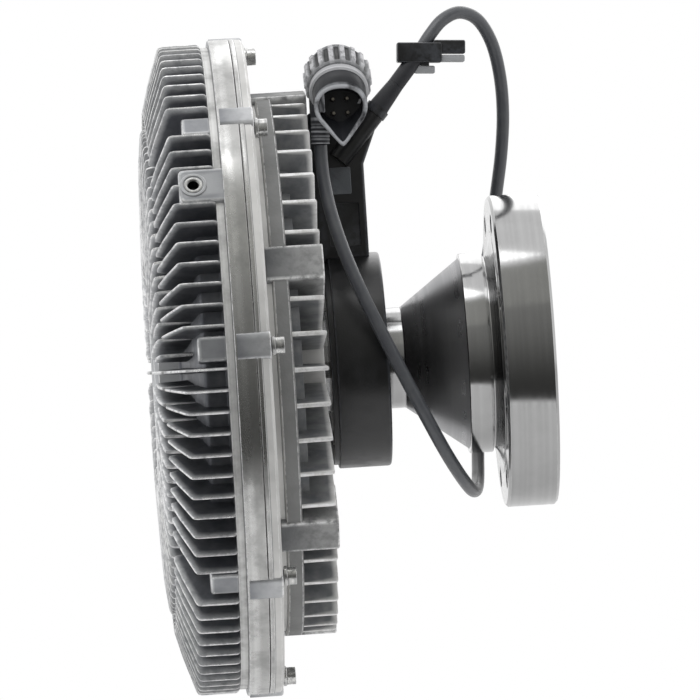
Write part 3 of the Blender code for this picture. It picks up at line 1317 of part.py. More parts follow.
def make_pins():
    """Contact pins standing on the socket's floor."""
    floor = HOOD_CENTRE + Vector((0.0, SOCKET_DEPTH - FIT, 0.0))
    made = []
    for number in range(PIN_COUNT):
        a = math.pi / 4 + 2 * math.pi * number / PIN_COUNT
        base = floor + Vector((math.cos(a), 0.0, math.sin(a))) * PIN_PITCH_RADIUS
        tip = base - Vector((0.0, PIN_LENGTH, 0.0))
        made.append(rods(f"contact_pin_{number + 1}", [
            (base, tip, PIN_RADIUS, PIN_RADIUS * PIN_TIP_SHARE),
        ], HOLE_STEPS, "brass"))
    return made


def make_spacer():
    """Distance ring between the two bearings."""
    return turned("bearing_spacer", [
        (SPACER_FRONT, BORE_CLEAR),
        (SPACER_BACK, BORE_CLEAR),
        (SPACER_BACK, BORE_CLEAR + SPACER_WALL),
        (SPACER_FRONT, BORE_CLEAR + SPACER_WALL),
    ], ROUND_SMALL, "bearing_steel")


def build():
    """Build every sub-part and hang each moving body on an empty on its axis."""
    clear_scene()
    main_inner, main_outer, main_cage = make_bearing(
        "main", MAIN_BEARING_FRONT, MAIN_BEARING_WIDTH, BORE_CLEAR, MAIN_BEARING_RADIUS)
    magnet_inner, magnet_outer, magnet_cage = make_bearing(
        "magnet", MAGNET_BEARING_FRONT, MAGNET_BEARING_WIDTH, BORE_CLEAR, MAGNET_BEARING_RADIUS)
    fixed_valve_parts, lever = make_valve()
    origin = Vector((0.0, 0.0, 0.0))
    shaft_parts = [make_flanged_shaft(), *make_rotor(), *fixed_valve_parts, main_inner, magnet_inner,
                   make_spacer()]
    hub = carrier_at("hub", origin)
    parent_to(hub, shaft_parts)
    housing = carrier_at("housing", Vector((SEAM_X, 0.0, 0.0)))
    parent_to(housing, [make_front_cover(), make_rear_housing(), make_filler_plug(), main_outer,
                        *make_screws(), *make_housing_inserts()])
    magnet = carrier_at("magnet", Vector((MAGNET_FRONT_X, 0.0, 0.0)))
    parent_to(magnet, [make_magnet_housing(), *make_magnet_inserts(), magnet_outer, make_sleeve(),
                       make_cable(), make_clip(), make_connector(), *make_pins()])
    parent_to(carrier_at("main_cage", Vector((MAIN_BEARING_FRONT, 0.0, 0.0))), [main_cage])
    parent_to(carrier_at("magnet_cage", Vector((MAGNET_BEARING_FRONT, 0.0, 0.0))), [magnet_cage])
    parent_to(carrier_at("valve", lever.location.copy()), [lever])
    parent_to(carrier_at("coupling", CONNECTOR_CENTRE), [make_connector_ring()])


build()
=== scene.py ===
"""Looks of a viscous fan clutch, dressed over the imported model.

Sizes are millimetres, turned into metres where a mesh is made. The clutch turns about the X axis, with
the fan side at low X and the engine flange at X = 0. An angle around the axis starts at the near side
(-Y) and grows downwards.
"""

import logging
import math
from collections.abc import Sequence
from dataclasses import dataclass
from enum import Enum
from functools import cache, reduce

import bmesh
import bpy
import numpy as np
from bpy.types import ID, Material, Mesh, Node, NodeSocket, NodeTree, Object, World
from mathutils import Matrix, Vector


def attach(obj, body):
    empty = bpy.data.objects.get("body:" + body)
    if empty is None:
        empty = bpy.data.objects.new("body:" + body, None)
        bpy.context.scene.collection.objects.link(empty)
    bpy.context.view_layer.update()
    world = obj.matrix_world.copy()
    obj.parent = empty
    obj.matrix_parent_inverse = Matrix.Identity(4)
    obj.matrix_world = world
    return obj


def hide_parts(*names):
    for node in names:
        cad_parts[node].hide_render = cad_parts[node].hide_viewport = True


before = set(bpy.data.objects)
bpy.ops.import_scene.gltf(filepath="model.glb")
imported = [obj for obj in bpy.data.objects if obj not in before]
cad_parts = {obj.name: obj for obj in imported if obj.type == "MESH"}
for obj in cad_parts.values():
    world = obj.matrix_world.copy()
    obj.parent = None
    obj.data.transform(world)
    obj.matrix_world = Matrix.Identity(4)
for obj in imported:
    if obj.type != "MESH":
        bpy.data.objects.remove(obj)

LOG = logging.getLogger("fan_clutch")
Array = np.ndarray
Pair = tuple[float, float]
Triple = tuple[float, float, float]
Colour = Triple
Values = Sequence[float] | float
Outline = Sequence[Pair] | Array
MM = 0.001
ROUND = 288
ROUND_SMALL = 48
ROUND_HOLE = 40
ROUND_TUBE = 32
ROUND_BLOCK = 64
CORNER_STEPS = 5
MERGE = 2e-6
SHARP = math.radians(32)
X, Y, Z = np.eye(3)
EDGE = "edge"
DEPTH = "depth"


# Shapes as arrays


def around(x: Array | float, radius: Array | float, angle: Array | float) -> Array:
    """Places points around the clutch axis.

    Formula: (x, -radius cos(angle), -radius sin(angle)).

    Args:
        x: Place along the axis.
        radius: Distance from the axis.
        angle: Turn from the near side, downwards, in radians.

    Returns:
        Points, with the three coordinates last.
    """
    x, radius, angle = np.broadcast_arrays(x, radius, angle)
    return np.stack([x, -radius * np.cos(angle), -radius * np.sin(angle)], axis=-1)


def sideways(angle: Array | float) -> Array:
    """The direction in which the angle grows, of length one."""
    angle = np.asarray(angle, dtype=float)
    return np.stack([np.zeros_like(angle), np.sin(angle), -np.cos(angle)], axis=-1)


def unit(vectors: Array) -> Array:
    """The vectors at length one."""
    length = np.linalg.norm(vectors, axis=-1, keepdims=True)
    return vectors / np.maximum(length, 1e-12)


def turn_angles(count: int) -> Array:
    """Even angles of one full turn, without the last."""
    return np.linspace(0.0, 2 * math.pi, count, endpoint=False)


def fillet(corners: Outline, radii: Values, steps: int = 4, closed: bool = False) -> tuple[Array, Array]:
    """Rounds the corners of a path.

    Formula: each corner becomes a quadratic curve from the point a tangent length before it to the one
    after it. The tangent length is radius / tan(half the corner's angle), at most 0.48 of either side.

    Args:
        corners: Points of the path, two coordinates each.
        radii: Radius at each corner, or one for all.
        steps: Points on each corner.
        closed: Whether the path comes back to its start.

    Returns:
        The points, and how far each lies into a corner: up to 1 where it is convex, down to -1 where hollow.
    """
    corners = np.asarray(corners, dtype=float)
    before = np.roll(corners, 1, axis=0) - corners
    after = np.roll(corners, -1, axis=0) - corners
    reach = 0.48 * np.minimum(np.linalg.norm(before, axis=1), np.linalg.norm(after, axis=1))
    before, after = unit(before), unit(after)
    half = np.arccos(np.clip(np.sum(before * after, axis=1), -1, 1)) / 2
    tangent = np.minimum(np.broadcast_to(radii, len(corners)) / np.maximum(np.tan(half), 1e-6), reach)
    if not closed:
        tangent[[0, -1]] = 0.0
    share = np.linspace(0.0, 1.0, steps)[None, :, None]
    start = (corners + before * tangent[:, None])[:, None, :]
    finish = (corners + after * tangent[:, None])[:, None, :]
    middle = corners[:, None, :]
    points = (1 - share) ** 2 * start + 2 * share * (1 - share) * middle + share**2 * finish
    bend = after[:, 0] * before[:, 1] - after[:, 1] * before[:, 0]
    ahead = np.roll(corners, -1, axis=0)
    way = np.sign(np.sum(corners[:, 0] * ahead[:, 1] - corners[:, 1] * ahead[:, 0]))
    rise = np.sin(np.pi * share[..., 0])
    mark = np.sign(bend)[:, None] * way * rise * np.minimum(1.0, 2.0 * np.abs(bend))[:, None]
    points, mark = points.reshape(-1, 2), mark.reshape(-1)
    apart = np.linalg.norm(points - np.roll(points, 1, axis=0), axis=1) > 1e-5
    if not closed:
        apart[0] = True
    return points[apart], mark[apart]


def inset_loop(corners: Outline, inset: float) -> Array:
    """Moves the corners of a closed outline inwards, so that each side moves by the same distance.

    Formula: corner - inset * (n1 + n2) / (1 + n1 . n2), with n1 and n2 the outward normals beside it.
    """
    corners = np.asarray(corners, dtype=float)
    ahead = np.roll(corners, -1, axis=0)
    way = np.sign(np.sum(corners[:, 0] * ahead[:, 1] - corners[:, 1] * ahead[:, 0]))
    side = unit(ahead - corners)
    normal = np.stack([side[:, 1], -side[:, 0]], axis=-1) * way
    other = np.roll(normal, 1, axis=0)
    share = 1 + np.sum(normal * other, axis=1, keepdims=True)
    return corners - inset * (normal + other) / share


def box(left: float, low: float, right: float, high: float) -> tuple[Pair, ...]:
    """Corners of an upright rectangle."""
    return ((left, low), (right, low), (right, high), (left, high))


class Surface:
    """Point grids gathered into one mesh, with an edge and a depth mark on each point."""

    def __init__(self, name: str) -> None:
        """Starts an empty surface with the name of its object."""
        self.name = name
        self.count = 0
        self.points: list[Array] = []
        self.faces: list[Array] = []
        self.caps: list[list[int]] = []
        self.edges: list[Array] = []
        self.depths: list[Array] = []
        self.slots: list[Array] = []

    def grid(
        self, points: Array, loop: bool = True, ring: bool = False, edge: Array | float = 0.0,
        depth: Array | float = 0.0, slot: int = 0,
    ) -> None:
        """Adds a grid of quads, or several at once.

        Args:
            points: Array of rows, columns and coordinates, with copies in front where there are several.
            loop: Whether the last column joins the first.
            ring: Whether the last row joins the first.
            edge: Mark of rubbed edges and painted highlight on the points.
            depth: Pocket mark of the points, for dust and painted shade.
            slot: Material slot of the faces.
        """
        shape = points.shape[:-1]
        rows, columns = shape[-2:]
        copies = int(np.prod(shape[:-2])) if len(shape) > 2 else 1
        row = np.arange(rows if ring else rows - 1)[:, None]
        column = np.arange(columns if loop else columns - 1)[None, :]
        next_row, next_column = (row + 1) % rows, (column + 1) % columns
        around_quad = ((row, column), (next_row, column), (next_row, next_column), (row, next_column))
        quads = np.stack([down * columns + across for down, across in around_quad], axis=-1).reshape(-1, 4)
        starts = self.count + rows * columns * np.arange(copies)
        self.faces.append((starts[:, None, None] + quads[None]).reshape(-1, 4))
        self.slots.append(np.full(len(quads) * copies, slot))
        self.points.append(points.reshape(-1, 3))
        self.edges.append(np.broadcast_to(edge, shape).reshape(-1))
        self.depths.append(np.broadcast_to(depth, shape).reshape(-1))
        self.count += rows * columns * copies

    def cap(self, loop: Array, slot: int = 0, depth: float = 0.0) -> None:
        """Closes a flat loop of points with one face.

        Args:
            loop: Points in order, three coordinates each.
            slot: Material slot of the face.
            depth: Pocket mark of its points, for dust and painted shade.
        """
        self.caps.append((list(range(self.count, self.count + len(loop))), slot))
        self.points.append(loop)
        self.edges.append(np.zeros(len(loop)))
        self.depths.append(np.full(len(loop), depth))
        self.count += len(loop)

    def build(self, *finishes: "Finish") -> Object:
        """Makes the object: merges doubles, turns faces outwards and shades smooth up to the sharp angle.

        Args:
            finishes: Finishes of the slots.

        Returns:
            The finished object, at the origin.
        """
        points = np.concatenate(self.points) * MM
        faces = np.concatenate(self.faces) if self.faces else np.zeros((0, 4), dtype=int)
        loops = np.concatenate([faces.reshape(-1), *[np.array(ids) for ids, _ in self.caps]]).astype(np.int32)
        sizes = np.concatenate([np.full(len(faces), 4), [len(ids) for ids, _ in self.caps]]).astype(np.int32)
        slots = np.concatenate([*self.slots, [slot for _, slot in self.caps]]).astype(np.int32)
        mesh = bpy.data.meshes.new(self.name)
        mesh.vertices.add(len(points))
        mesh.vertices.foreach_set("co", points.astype(np.float32).reshape(-1))
        mesh.loops.add(len(loops))
        mesh.loops.foreach_set("vertex_index", loops)
        mesh.polygons.add(len(sizes))
        mesh.polygons.foreach_set("loop_start", (np.cumsum(sizes) - sizes).astype(np.int32))
        mesh.polygons.foreach_set("material_index", slots)
        mesh.update(calc_edges=True)
        mesh.validate()
        for name, marks in ((EDGE, self.edges), (DEPTH, self.depths)):
            layer = mesh.attributes.new(name, "FLOAT", "POINT")
            layer.data.foreach_set("value", np.concatenate(marks).astype(np.float32))
        close_mesh(mesh)
        for finish in finishes:
            mesh.materials.append(finish.material())
        return add_object(self.name, mesh)


def add_object(name: str, data: ID) -> Object:
    """Makes an object and puts it in the scene."""
    obj = bpy.data.objects.new(name, data)
    bpy.context.scene.collection.objects.link(obj)
    return obj


def close_mesh(mesh: Mesh) -> None:
    """Merges doubled points, turns the faces outwards and sets smooth shading."""
    work = bmesh.new()
    work.from_mesh(mesh)
    bmesh.ops.remove_doubles(work, verts=work.verts, dist=MERGE)
    bmesh.ops.dissolve_degenerate(work, dist=MERGE / 4, edges=work.edges)
    bmesh.ops.recalc_face_normals(work, faces=work.faces)
    work.to_mesh(mesh)
    work.free()
    smooth(mesh)


def smooth(mesh: Mesh) -> None:
    """Shades a mesh smooth up to the sharp angle."""
    mesh.shade_smooth()
    mesh.set_sharp_from_angle(angle=SHARP)


@dataclass(frozen=True)
class Axes:
    """A place with three directions, on which flat outlines are built."""

    origin: Array
    u: Array
    v: Array
    w: Array

    def at(self, u: Array | float, v: Array | float, w: Array | float) -> Array:
        """Points at the given distances along the three directions."""
        u, v, w = np.broadcast_arrays(u, v, w)
        return self.origin + u[..., None] * self.u + v[..., None] * self.v + w[..., None] * self.w

    @staticmethod
    def rim(x: float, radius: float, angle: float) -> "Axes":
        """Axes on the rim: u along the clutch axis, v around it and w outwards."""
        outwards = around(0.0, 1.0, angle)
        return Axes(around(x, radius, angle), X, sideways(angle), outwards)

    @staticmethod
    def face(x: float, radius: float, angle: float) -> "Axes":
        """Axes on a face across the clutch axis: u outwards, v around and w along the axis."""
        outwards = around(0.0, 1.0, angle)
        return Axes(around(x, radius, angle), outwards, sideways(angle), X)


CLUTCH = Axes(np.zeros(3), -Y, -Z, X)
ARM_PLANE = Axes(np.zeros(3), X, Z, -Y)


def turned(
    surface: Surface, axes: Axes, corners: Outline, radii: Values, columns: int = ROUND, slot: int = 0
) -> None:
    """Adds a turned shape: (height along w, radius) pairs with rounded corners, carried around w.

    Args:
        surface: Where it goes.
        axes: Its place, with w as the turning axis.
        corners: The path; its ends lie on the axis or meet.
        radii: Corner radii.
        columns: Points around.
        slot: Material slot.
    """
    closed = max(corners[0][1], corners[-1][1]) > 0
    path, mark = fillet(corners, radii, closed=closed)
    angle = turn_angles(columns)[None, :]
    points = axes.at(path[:, None, 1] * np.cos(angle), path[:, None, 1] * np.sin(angle), path[:, None, 0])
    # Convex corners carry the mark of rubbed edges and painted highlight, hollow corners the mark of dust and painted
    # shade.
    edge, depth = np.clip(mark, 0, 1)[:, None], np.clip(-mark, 0, 1)[:, None]
    surface.grid(points, ring=closed, edge=edge, depth=depth, slot=slot)


def prism(
    surface: Surface, axes: Axes, outline: Outline, low: float, high: float, corner: float, bevel: float,
    slot: int = 0, shade: float = 0.0,
) -> None:
    """Adds a flat outline carried along w, with rounded corners and rounded rims.

    Formula: level k of a rim lies bevel (1 - sin k) inside the end and is drawn in by bevel (1 - cos k).

    Args:
        surface: Where it goes.
        axes: The outline's plane.
        outline: Corners as (u, v) pairs.
        low: Height of the first end.
        high: Height of the second end.
        corner: Radius of the outline's corners.
        bevel: Radius of the rims.
        slot: Material slot.
        shade: Pocket mark of the second end's face: painted shade that darkens its middle.
    """
    turn = np.linspace(0.0, math.pi / 2, 4)
    level = np.concatenate([low + bevel * (1 - np.sin(turn[::-1])), high - bevel * (1 - np.sin(turn))])
    inset = bevel * np.concatenate([1 - np.cos(turn[::-1]), 1 - np.cos(turn)])
    rows = []
    for height, draw in zip(level, inset):
        loop, mark = fillet(inset_loop(outline, draw), max(corner - draw, 0.05), CORNER_STEPS, closed=True)
        rows.append(axes.at(loop[:, 0], loop[:, 1], height))
    # The rims and the outline's corners carry the mark of rubbed edges and painted highlight.
    rim = np.sin(2 * np.concatenate([turn[::-1], turn]))[:, None]
    edge = np.maximum(rim, np.clip(mark, 0, 1)[None, :])
    surface.grid(np.stack(rows), edge=edge, slot=slot)
    surface.cap(rows[0], slot)
    inner, _ = fillet(inset_loop(outline, bevel + 0.7), max(corner - bevel, 0.05), CORNER_STEPS, closed=True)
    face, _ = fillet(inset_loop(outline, bevel), max(corner - bevel, 0.05), CORNER_STEPS, closed=True)
    # The second end's face gets a darker middle, a painted shade.
    if shade and len(inner) == len(face):
        top = axes.at(inner[:, 0], inner[:, 1], high)
        surface.grid(np.stack([rows[-1], top]), depth=np.array([[0.0], [shade]]), slot=slot)
        surface.cap(top, slot, shade)
    else:
        surface.cap(rows[-1], slot)


def blades(
    surface: Surface, tip: Outline, root: tuple[Pair, Pair], angles: Array, thick: Pair, corner: float,
    shade: float = 0.2,
) -> None:
    """Adds thin fins that stand on a turned body, each a closed shell with rounded ends.

    Formula: a point is root + height (tip - root), moved sideways by side times half the thickness. The
    thickness goes from the root's to the tip's, and shrinks to nothing at both ends as a half circle does.

    Args:
        surface: Where they go.
        tip: Corners of the outer edge, as (x, radius).
        root: First and last (x, radius) of the buried edge.
        angles: Turn of each fin.
        thick: Thickness at the root and at the tip.
        corner: Radius of the outer edge's corners.
        shade: Share of the height over which the pocket mark, a painted shade towards the root, grows to full.
    """
    path, _ = fillet(tip, corner, 3)
    ends = np.concatenate([path[:1], path[:1] + 0.12 * (path[1:2] - path[:1]), path[1:-1]])
    path = np.concatenate([ends, path[-1:] + 0.12 * (path[-2:-1] - path[-1:]), path[-1:]])
    length = np.concatenate([[0.0], np.cumsum(np.linalg.norm(np.diff(path, axis=0), axis=1))])
    share = (length / length[-1])[:, None]
    base = (1 - share) * np.asarray(root[0]) + share * np.asarray(root[1])
    side = np.array([-1, -1, -1, -0.96, -0.7, 0.0, 0.7, 0.96, 1, 1, 1])[None, :]
    height = np.array([0, 0.5, 0.82, 0.955, 0.99, 1.0, 0.99, 0.955, 0.82, 0.5, 0])[None, :]
    near = np.minimum(length, length[-1] - length)[:, None] / (thick[1] / 2)
    plan = np.sqrt(1 - (1 - np.clip(near, 0, 1)) ** 2)
    half = (thick[0] + (thick[1] - thick[0]) * height) / 2 * plan * side
    flat = base[:, None, :] + height[..., None] * (path - base)[:, None, :]
    turn = np.asarray(angles)[:, None, None]
    points = around(flat[None, ..., 0], flat[None, ..., 1], turn) + half[None, ..., None] * sideways(turn)
    # Painted highlight with wear along the outer edge, and painted shade down the sides towards the root.
    edge = np.broadcast_to(np.clip((height - 0.94) / 0.04, 0, 1), half.shape)
    depth = np.broadcast_to(np.clip((0.98 - height) / shade, 0, 1), half.shape)
    surface.grid(points, edge=edge[None] + 0 * turn, depth=depth[None] + 0 * turn)


# Shader groups


class Nodes:
    """Adds and links the nodes of one tree."""

    def __init__(self, tree: NodeTree) -> None:
        """Takes the tree that it works on."""
        self.tree = tree

    def add(self, kind: str, inputs: dict | None = None, **settings: object) -> Node:
        """Adds a node.

        Args:
            kind: Blender's name of the node type.
            inputs: Values or output sockets by input name or number.
            settings: Properties of the node.

        Returns:
            The new node.
        """
        node = self.tree.nodes.new(kind)
        for key, value in settings.items():
            setattr(node, key, value)
        for key, value in (inputs or {}).items():
            if isinstance(value, NodeSocket):
                self.tree.links.new(value, node.inputs[key])
            else:
                node.inputs[key].default_value = value
        return node

    def math(self, operation: str, first: object, second: object = 0.0) -> NodeSocket:
        """The result of one sum of two values."""
        return self.add("ShaderNodeMath", {0: first, 1: second}, operation=operation).outputs[0]

    def total(self, *terms: tuple[NodeSocket, float]) -> NodeSocket:
        """The sum of some values, each times its weight."""
        weighted = [self.math("MULTIPLY", value, weight) for value, weight in terms]
        return reduce(lambda first, second: self.math("ADD", first, second), weighted)

    def mix(self, share: object, first: object, second: object) -> NodeSocket:
        """A colour between two colours, by a share from 0 to 1."""
        inputs = {0: share, 6: rgba(first), 7: rgba(second)}
        return self.add("ShaderNodeMix", inputs, data_type="RGBA").outputs[2]

    def ramp(self, value: object, low: float, high: float, first: float = 0.0, last: float = 1.0) -> NodeSocket:
        """A value carried smoothly from the range low..high to first..last."""
        inputs = {0: value, 1: low, 2: high, 3: first, 4: last}
        return self.add("ShaderNodeMapRange", inputs, interpolation_type="SMOOTHSTEP").outputs[0]

    def noise(self, place: NodeSocket, scale: object, detail: float = 3.0, rough: float = 0.5) -> NodeSocket:
        """Noise from 0 to 1 at a place."""
        inputs = {"Vector": place, "Scale": scale, "Detail": detail, "Roughness": rough}
        return self.add("ShaderNodeTexNoise", inputs).outputs[0]

    def place(self) -> NodeSocket:
        """Object coordinates, in metres."""
        return self.add("ShaderNodeTexCoord").outputs["Object"]

    def mark(self, name: str) -> NodeSocket:
        """A mark that the mesh carries on its points."""
        return self.add("ShaderNodeAttribute", attribute_name=name).outputs["Fac"]


def rgba(colour: object) -> object:
    """A colour with its fourth value, or the socket as it is."""
    return colour if isinstance(colour, NodeSocket) else (*colour[:3], 1.0)


def new_group(name: str, inputs: dict[str, float], outputs: Sequence[str]) -> tuple[Nodes, dict, Node]:
    """Starts a shader group of values.

    Args:
        name: Name of the group.
        inputs: Names of the inputs, with their first values.
        outputs: Names of the outputs.

    Returns:
        The tree's node maker, the input sockets by name, and the output node.
    """
    tree = bpy.data.node_groups.new(name, "ShaderNodeTree")
    for key, value in inputs.items():
        socket = tree.interface.new_socket(key, in_out="INPUT", socket_type="NodeSocketFloat")
        socket.default_value = value
    for key in outputs:
        tree.interface.new_socket(key, in_out="OUTPUT", socket_type="NodeSocketFloat")
    nodes = Nodes(tree)
    source = nodes.add("NodeGroupInput")
    return nodes, {key: source.outputs[key] for key in inputs}, nodes.add("NodeGroupOutput")


def finish_group(nodes: Nodes, output: Node, values: dict[str, NodeSocket]) -> NodeTree:
    """Links the group's results and returns its tree."""
    for key, value in values.items():
        nodes.tree.links.new(value, output.inputs[key])
    return nodes.tree


def cast_skin_group() -> NodeTree:
    """Skin of a sand or die casting: fine grain over soft, wider unevenness, and pale and dark patches."""
    nodes, given, output = new_group("cast_skin", {"Scale": 900.0, "Patch Scale": 60.0}, ("Height", "Patches"))
    place = nodes.place()
    fine = nodes.noise(place, given["Scale"], 4.0, 0.6)
    pits = nodes.add("ShaderNodeTexVoronoi", {"Vector": place, "Scale": given["Scale"]}).outputs["Distance"]
    soft = nodes.noise(place, given["Patch Scale"], 3.0, 0.55)
    height = nodes.total((fine, 0.6), (pits, 0.4), (soft, 0.5))
    return finish_group(nodes, output, {"Height": height, "Patches": nodes.ramp(soft, 0.3, 0.7)})


def turned_lines_group() -> NodeTree:
    """Lines that a lathe leaves: noise over the distance along and from the axis, the same all round."""
    nodes, given, output = new_group("turned_lines", {"Lines per Metre": 5000.0}, ("Height", "Bands"))
    apart = nodes.add("ShaderNodeSeparateXYZ", {0: nodes.place()})
    across = nodes.add("ShaderNodeCombineXYZ", {1: apart.outputs[1], 2: apart.outputs[2]}).outputs[0]
    radius = nodes.add("ShaderNodeVectorMath", {0: across}, operation="LENGTH").outputs["Value"]
    flat = nodes.add("ShaderNodeCombineXYZ", {0: apart.outputs[0], 1: radius}).outputs[0]
    fine = nodes.noise(flat, given["Lines per Metre"], 2.0, 0.6)
    wide = nodes.noise(flat, nodes.math("MULTIPLY", given["Lines per Metre"], 0.09), 2.0, 0.5)
    height = nodes.total((fine, 0.7), (wide, 0.3))
    return finish_group(nodes, output, {"Height": height, "Bands": nodes.ramp(wide, 0.35, 0.65)})


def edge_wear_and_highlight_group() -> NodeTree:
    """Rubbed edges and painted highlight: the mesh's edge mark, broken up by noise."""
    nodes, given, output = new_group("edge_wear_and_highlight", {"Amount": 1.0, "Scale": 250.0}, ("Mask",))
    broken = nodes.ramp(nodes.noise(nodes.place(), given["Scale"], 4.0, 0.65), 0.3, 0.62)
    worn_and_highlit = nodes.math("MULTIPLY", nodes.mark(EDGE), nodes.math("MULTIPLY", broken, given["Amount"]))
    return finish_group(nodes, output, {"Mask": nodes.math("MINIMUM", worn_and_highlit, 1.0)})


def pocket_dust_and_shade_group() -> NodeTree:
    """Dust and painted shade in hollows: the mesh's depth mark, uneven by noise."""
    nodes, given, output = new_group("pocket_dust_and_shade", {"Amount": 1.0, "Scale": 120.0}, ("Mask",))
    uneven = nodes.ramp(nodes.noise(nodes.place(), given["Scale"], 3.0, 0.6), 0.2, 0.8, 0.7, 1.0)
    deep = nodes.ramp(nodes.mark(DEPTH), 0.0, 0.9)
    mask = nodes.math("MULTIPLY", nodes.math("MULTIPLY", deep, uneven), given["Amount"])
    return finish_group(nodes, output, {"Mask": nodes.math("MINIMUM", mask, 1.0)})


def fine_grain_group() -> NodeTree:
    """Eroded grain of mouldings and paint, and faint handling marks."""
    nodes, given, output = new_group("fine_grain", {"Scale": 1800.0, "Mark Scale": 90.0}, ("Height", "Marks"))
    place = nodes.place()
    cells = nodes.add("ShaderNodeTexVoronoi", {"Vector": place, "Scale": given["Scale"]}, feature="SMOOTH_F1")
    fine = nodes.noise(place, given["Scale"], 2.0, 0.5)
    marks = nodes.ramp(nodes.noise(place, given["Mark Scale"], 5.0, 0.65), 0.42, 0.7)
    return finish_group(nodes, output, {"Height": nodes.math("ADD", cells.outputs["Distance"], fine), "Marks": marks})


class Effect(Enum):
    """Shader groups that the finishes share."""

    CAST_SKIN = "cast_skin"
    TURNED_LINES = "turned_lines"
    EDGE_WEAR_AND_HIGHLIGHT = "edge_wear_and_highlight"
    POCKET_DUST_AND_SHADE = "pocket_dust_and_shade"
    FINE_GRAIN = "fine_grain"


MAKERS = {
    Effect.CAST_SKIN: cast_skin_group,
    Effect.TURNED_LINES: turned_lines_group,
    Effect.EDGE_WEAR_AND_HIGHLIGHT: edge_wear_and_highlight_group,
    Effect.POCKET_DUST_AND_SHADE: pocket_dust_and_shade_group,
    Effect.FINE_GRAIN: fine_grain_group,
}


def effect(nodes: Nodes, kind: Effect, **values: float) -> Node:
    """Places a shared group in a material.

    Args:
        nodes: Node maker of the material.
        kind: Which group.
        values: Its inputs, with underscores for spaces.

    Returns:
        The group node.
    """
    tree = bpy.data.node_groups.get(kind.value) or MAKERS[kind]()
    node = nodes.add("ShaderNodeGroup", node_tree=tree)
    for key, value in values.items():
        node.inputs[key.replace("_", " ")].default_value = value
    return node


# Finishes


def clear_tree(owner: Material | World) -> Nodes:
    """Empties the node tree of a material or of the world, and returns its node maker."""
    owner.use_nodes = True
    owner.node_tree.nodes.clear()
    return Nodes(owner.node_tree)


def new_material(name: str) -> tuple[Material, Nodes]:
    """A material with an empty tree, and its node maker."""
    material = bpy.data.materials.new(name)
    return material, clear_tree(material)


def darker(colour: Colour, share: float) -> Colour:
    """A colour times a share."""
    return tuple(share * value for value in colour)


@dataclass(frozen=True)
class Finish:
    """What all finishes share: the Principled shader's plain values, rubbed edges with painted highlight, and dust
    with painted shade in pockets.
    """

    name: str
    colour: Colour
    roughness: float
    metallic: float = 0.0
    specular: float = 0.5
    coat: float = 0.0
    coat_roughness: float = 0.2
    # The edge colour and its amount lighten edges as rubbed wear and painted highlight; the next amount darkens
    # pockets as dust and painted shade.
    edge: Colour = (0.9, 0.9, 0.9)
    wear_and_highlight: float = 1.0
    wear_and_highlight_scale: float = 250.0
    dust_and_shade: float = 0.9

    def build(self) -> Material:
        """Makes the material; each kind of finish has its own way."""
        raise NotImplementedError

    @cache
    def material(self) -> Material:
        """The material, made on first use."""
        return self.build()

    def masks(self, nodes: Nodes) -> list[NodeSocket]:
        """Masks of the rubbed edges with painted highlight, and of the dust with painted shade."""
        wear_and_highlight = effect(nodes, Effect.EDGE_WEAR_AND_HIGHLIGHT, Amount=self.wear_and_highlight, Scale=self.wear_and_highlight_scale)
        return [group.outputs["Mask"] for group in (wear_and_highlight, effect(nodes, Effect.POCKET_DUST_AND_SHADE, Amount=self.dust_and_shade))]

    def shade(self, nodes: Nodes, colour: NodeSocket, rough: NodeSocket, height: NodeSocket, deep: float) -> None:
        """Makes the shader from the results and the plain values.

        Args:
            nodes: The material's node maker.
            colour: Base colour.
            rough: Roughness.
            height: Relief from 0 to 1.
            deep: Depth of the relief in metres.
        """
        bump = nodes.add("ShaderNodeBump", {"Strength": 1.0, "Distance": deep, "Height": height})
        inputs = {
            "Base Color": colour, "Roughness": rough, "Normal": bump.outputs[0], "Metallic": self.metallic,
            "Specular IOR Level": self.specular, "Coat Weight": self.coat, "Coat Roughness": self.coat_roughness,
        }
        shader = nodes.add("ShaderNodeBsdfPrincipled", inputs)
        nodes.add("ShaderNodeOutputMaterial", {"Surface": shader.outputs[0]})


@dataclass(frozen=True)
class CastMetal(Finish):
    """Cast aluminium: grainy skin, dull grey in the pockets from dust and painted shade, and rubbed bright on the
    edges with painted highlight.
    """

    pocket: Colour = (0.1, 0.1, 0.11)
    grain: float = 0.00006
    scale: float = 1100.0

    def build(self) -> Material:
        """Makes the material."""
        material, nodes = new_material(self.name)
        wear_and_highlight, dust_and_shade = self.masks(nodes)
        skin = effect(nodes, Effect.CAST_SKIN, Scale=self.scale).outputs
        colour = nodes.mix(skin["Patches"], self.colour, darker(self.colour, 0.82))
        # Pockets take the dark pocket colour as dust and painted shade; edges take the edge colour as rubbed wear and
        # painted highlight.
        colour = nodes.mix(wear_and_highlight, nodes.mix(dust_and_shade, colour, self.pocket), self.edge)
        rough = nodes.ramp(wear_and_highlight, 0.0, 1.0, self.roughness, 0.6 * self.roughness)
        rough = nodes.math("ADD", rough, nodes.math("MULTIPLY", skin["Patches"], 0.08))
        self.shade(nodes, colour, rough, skin["Height"], self.grain)
        return material


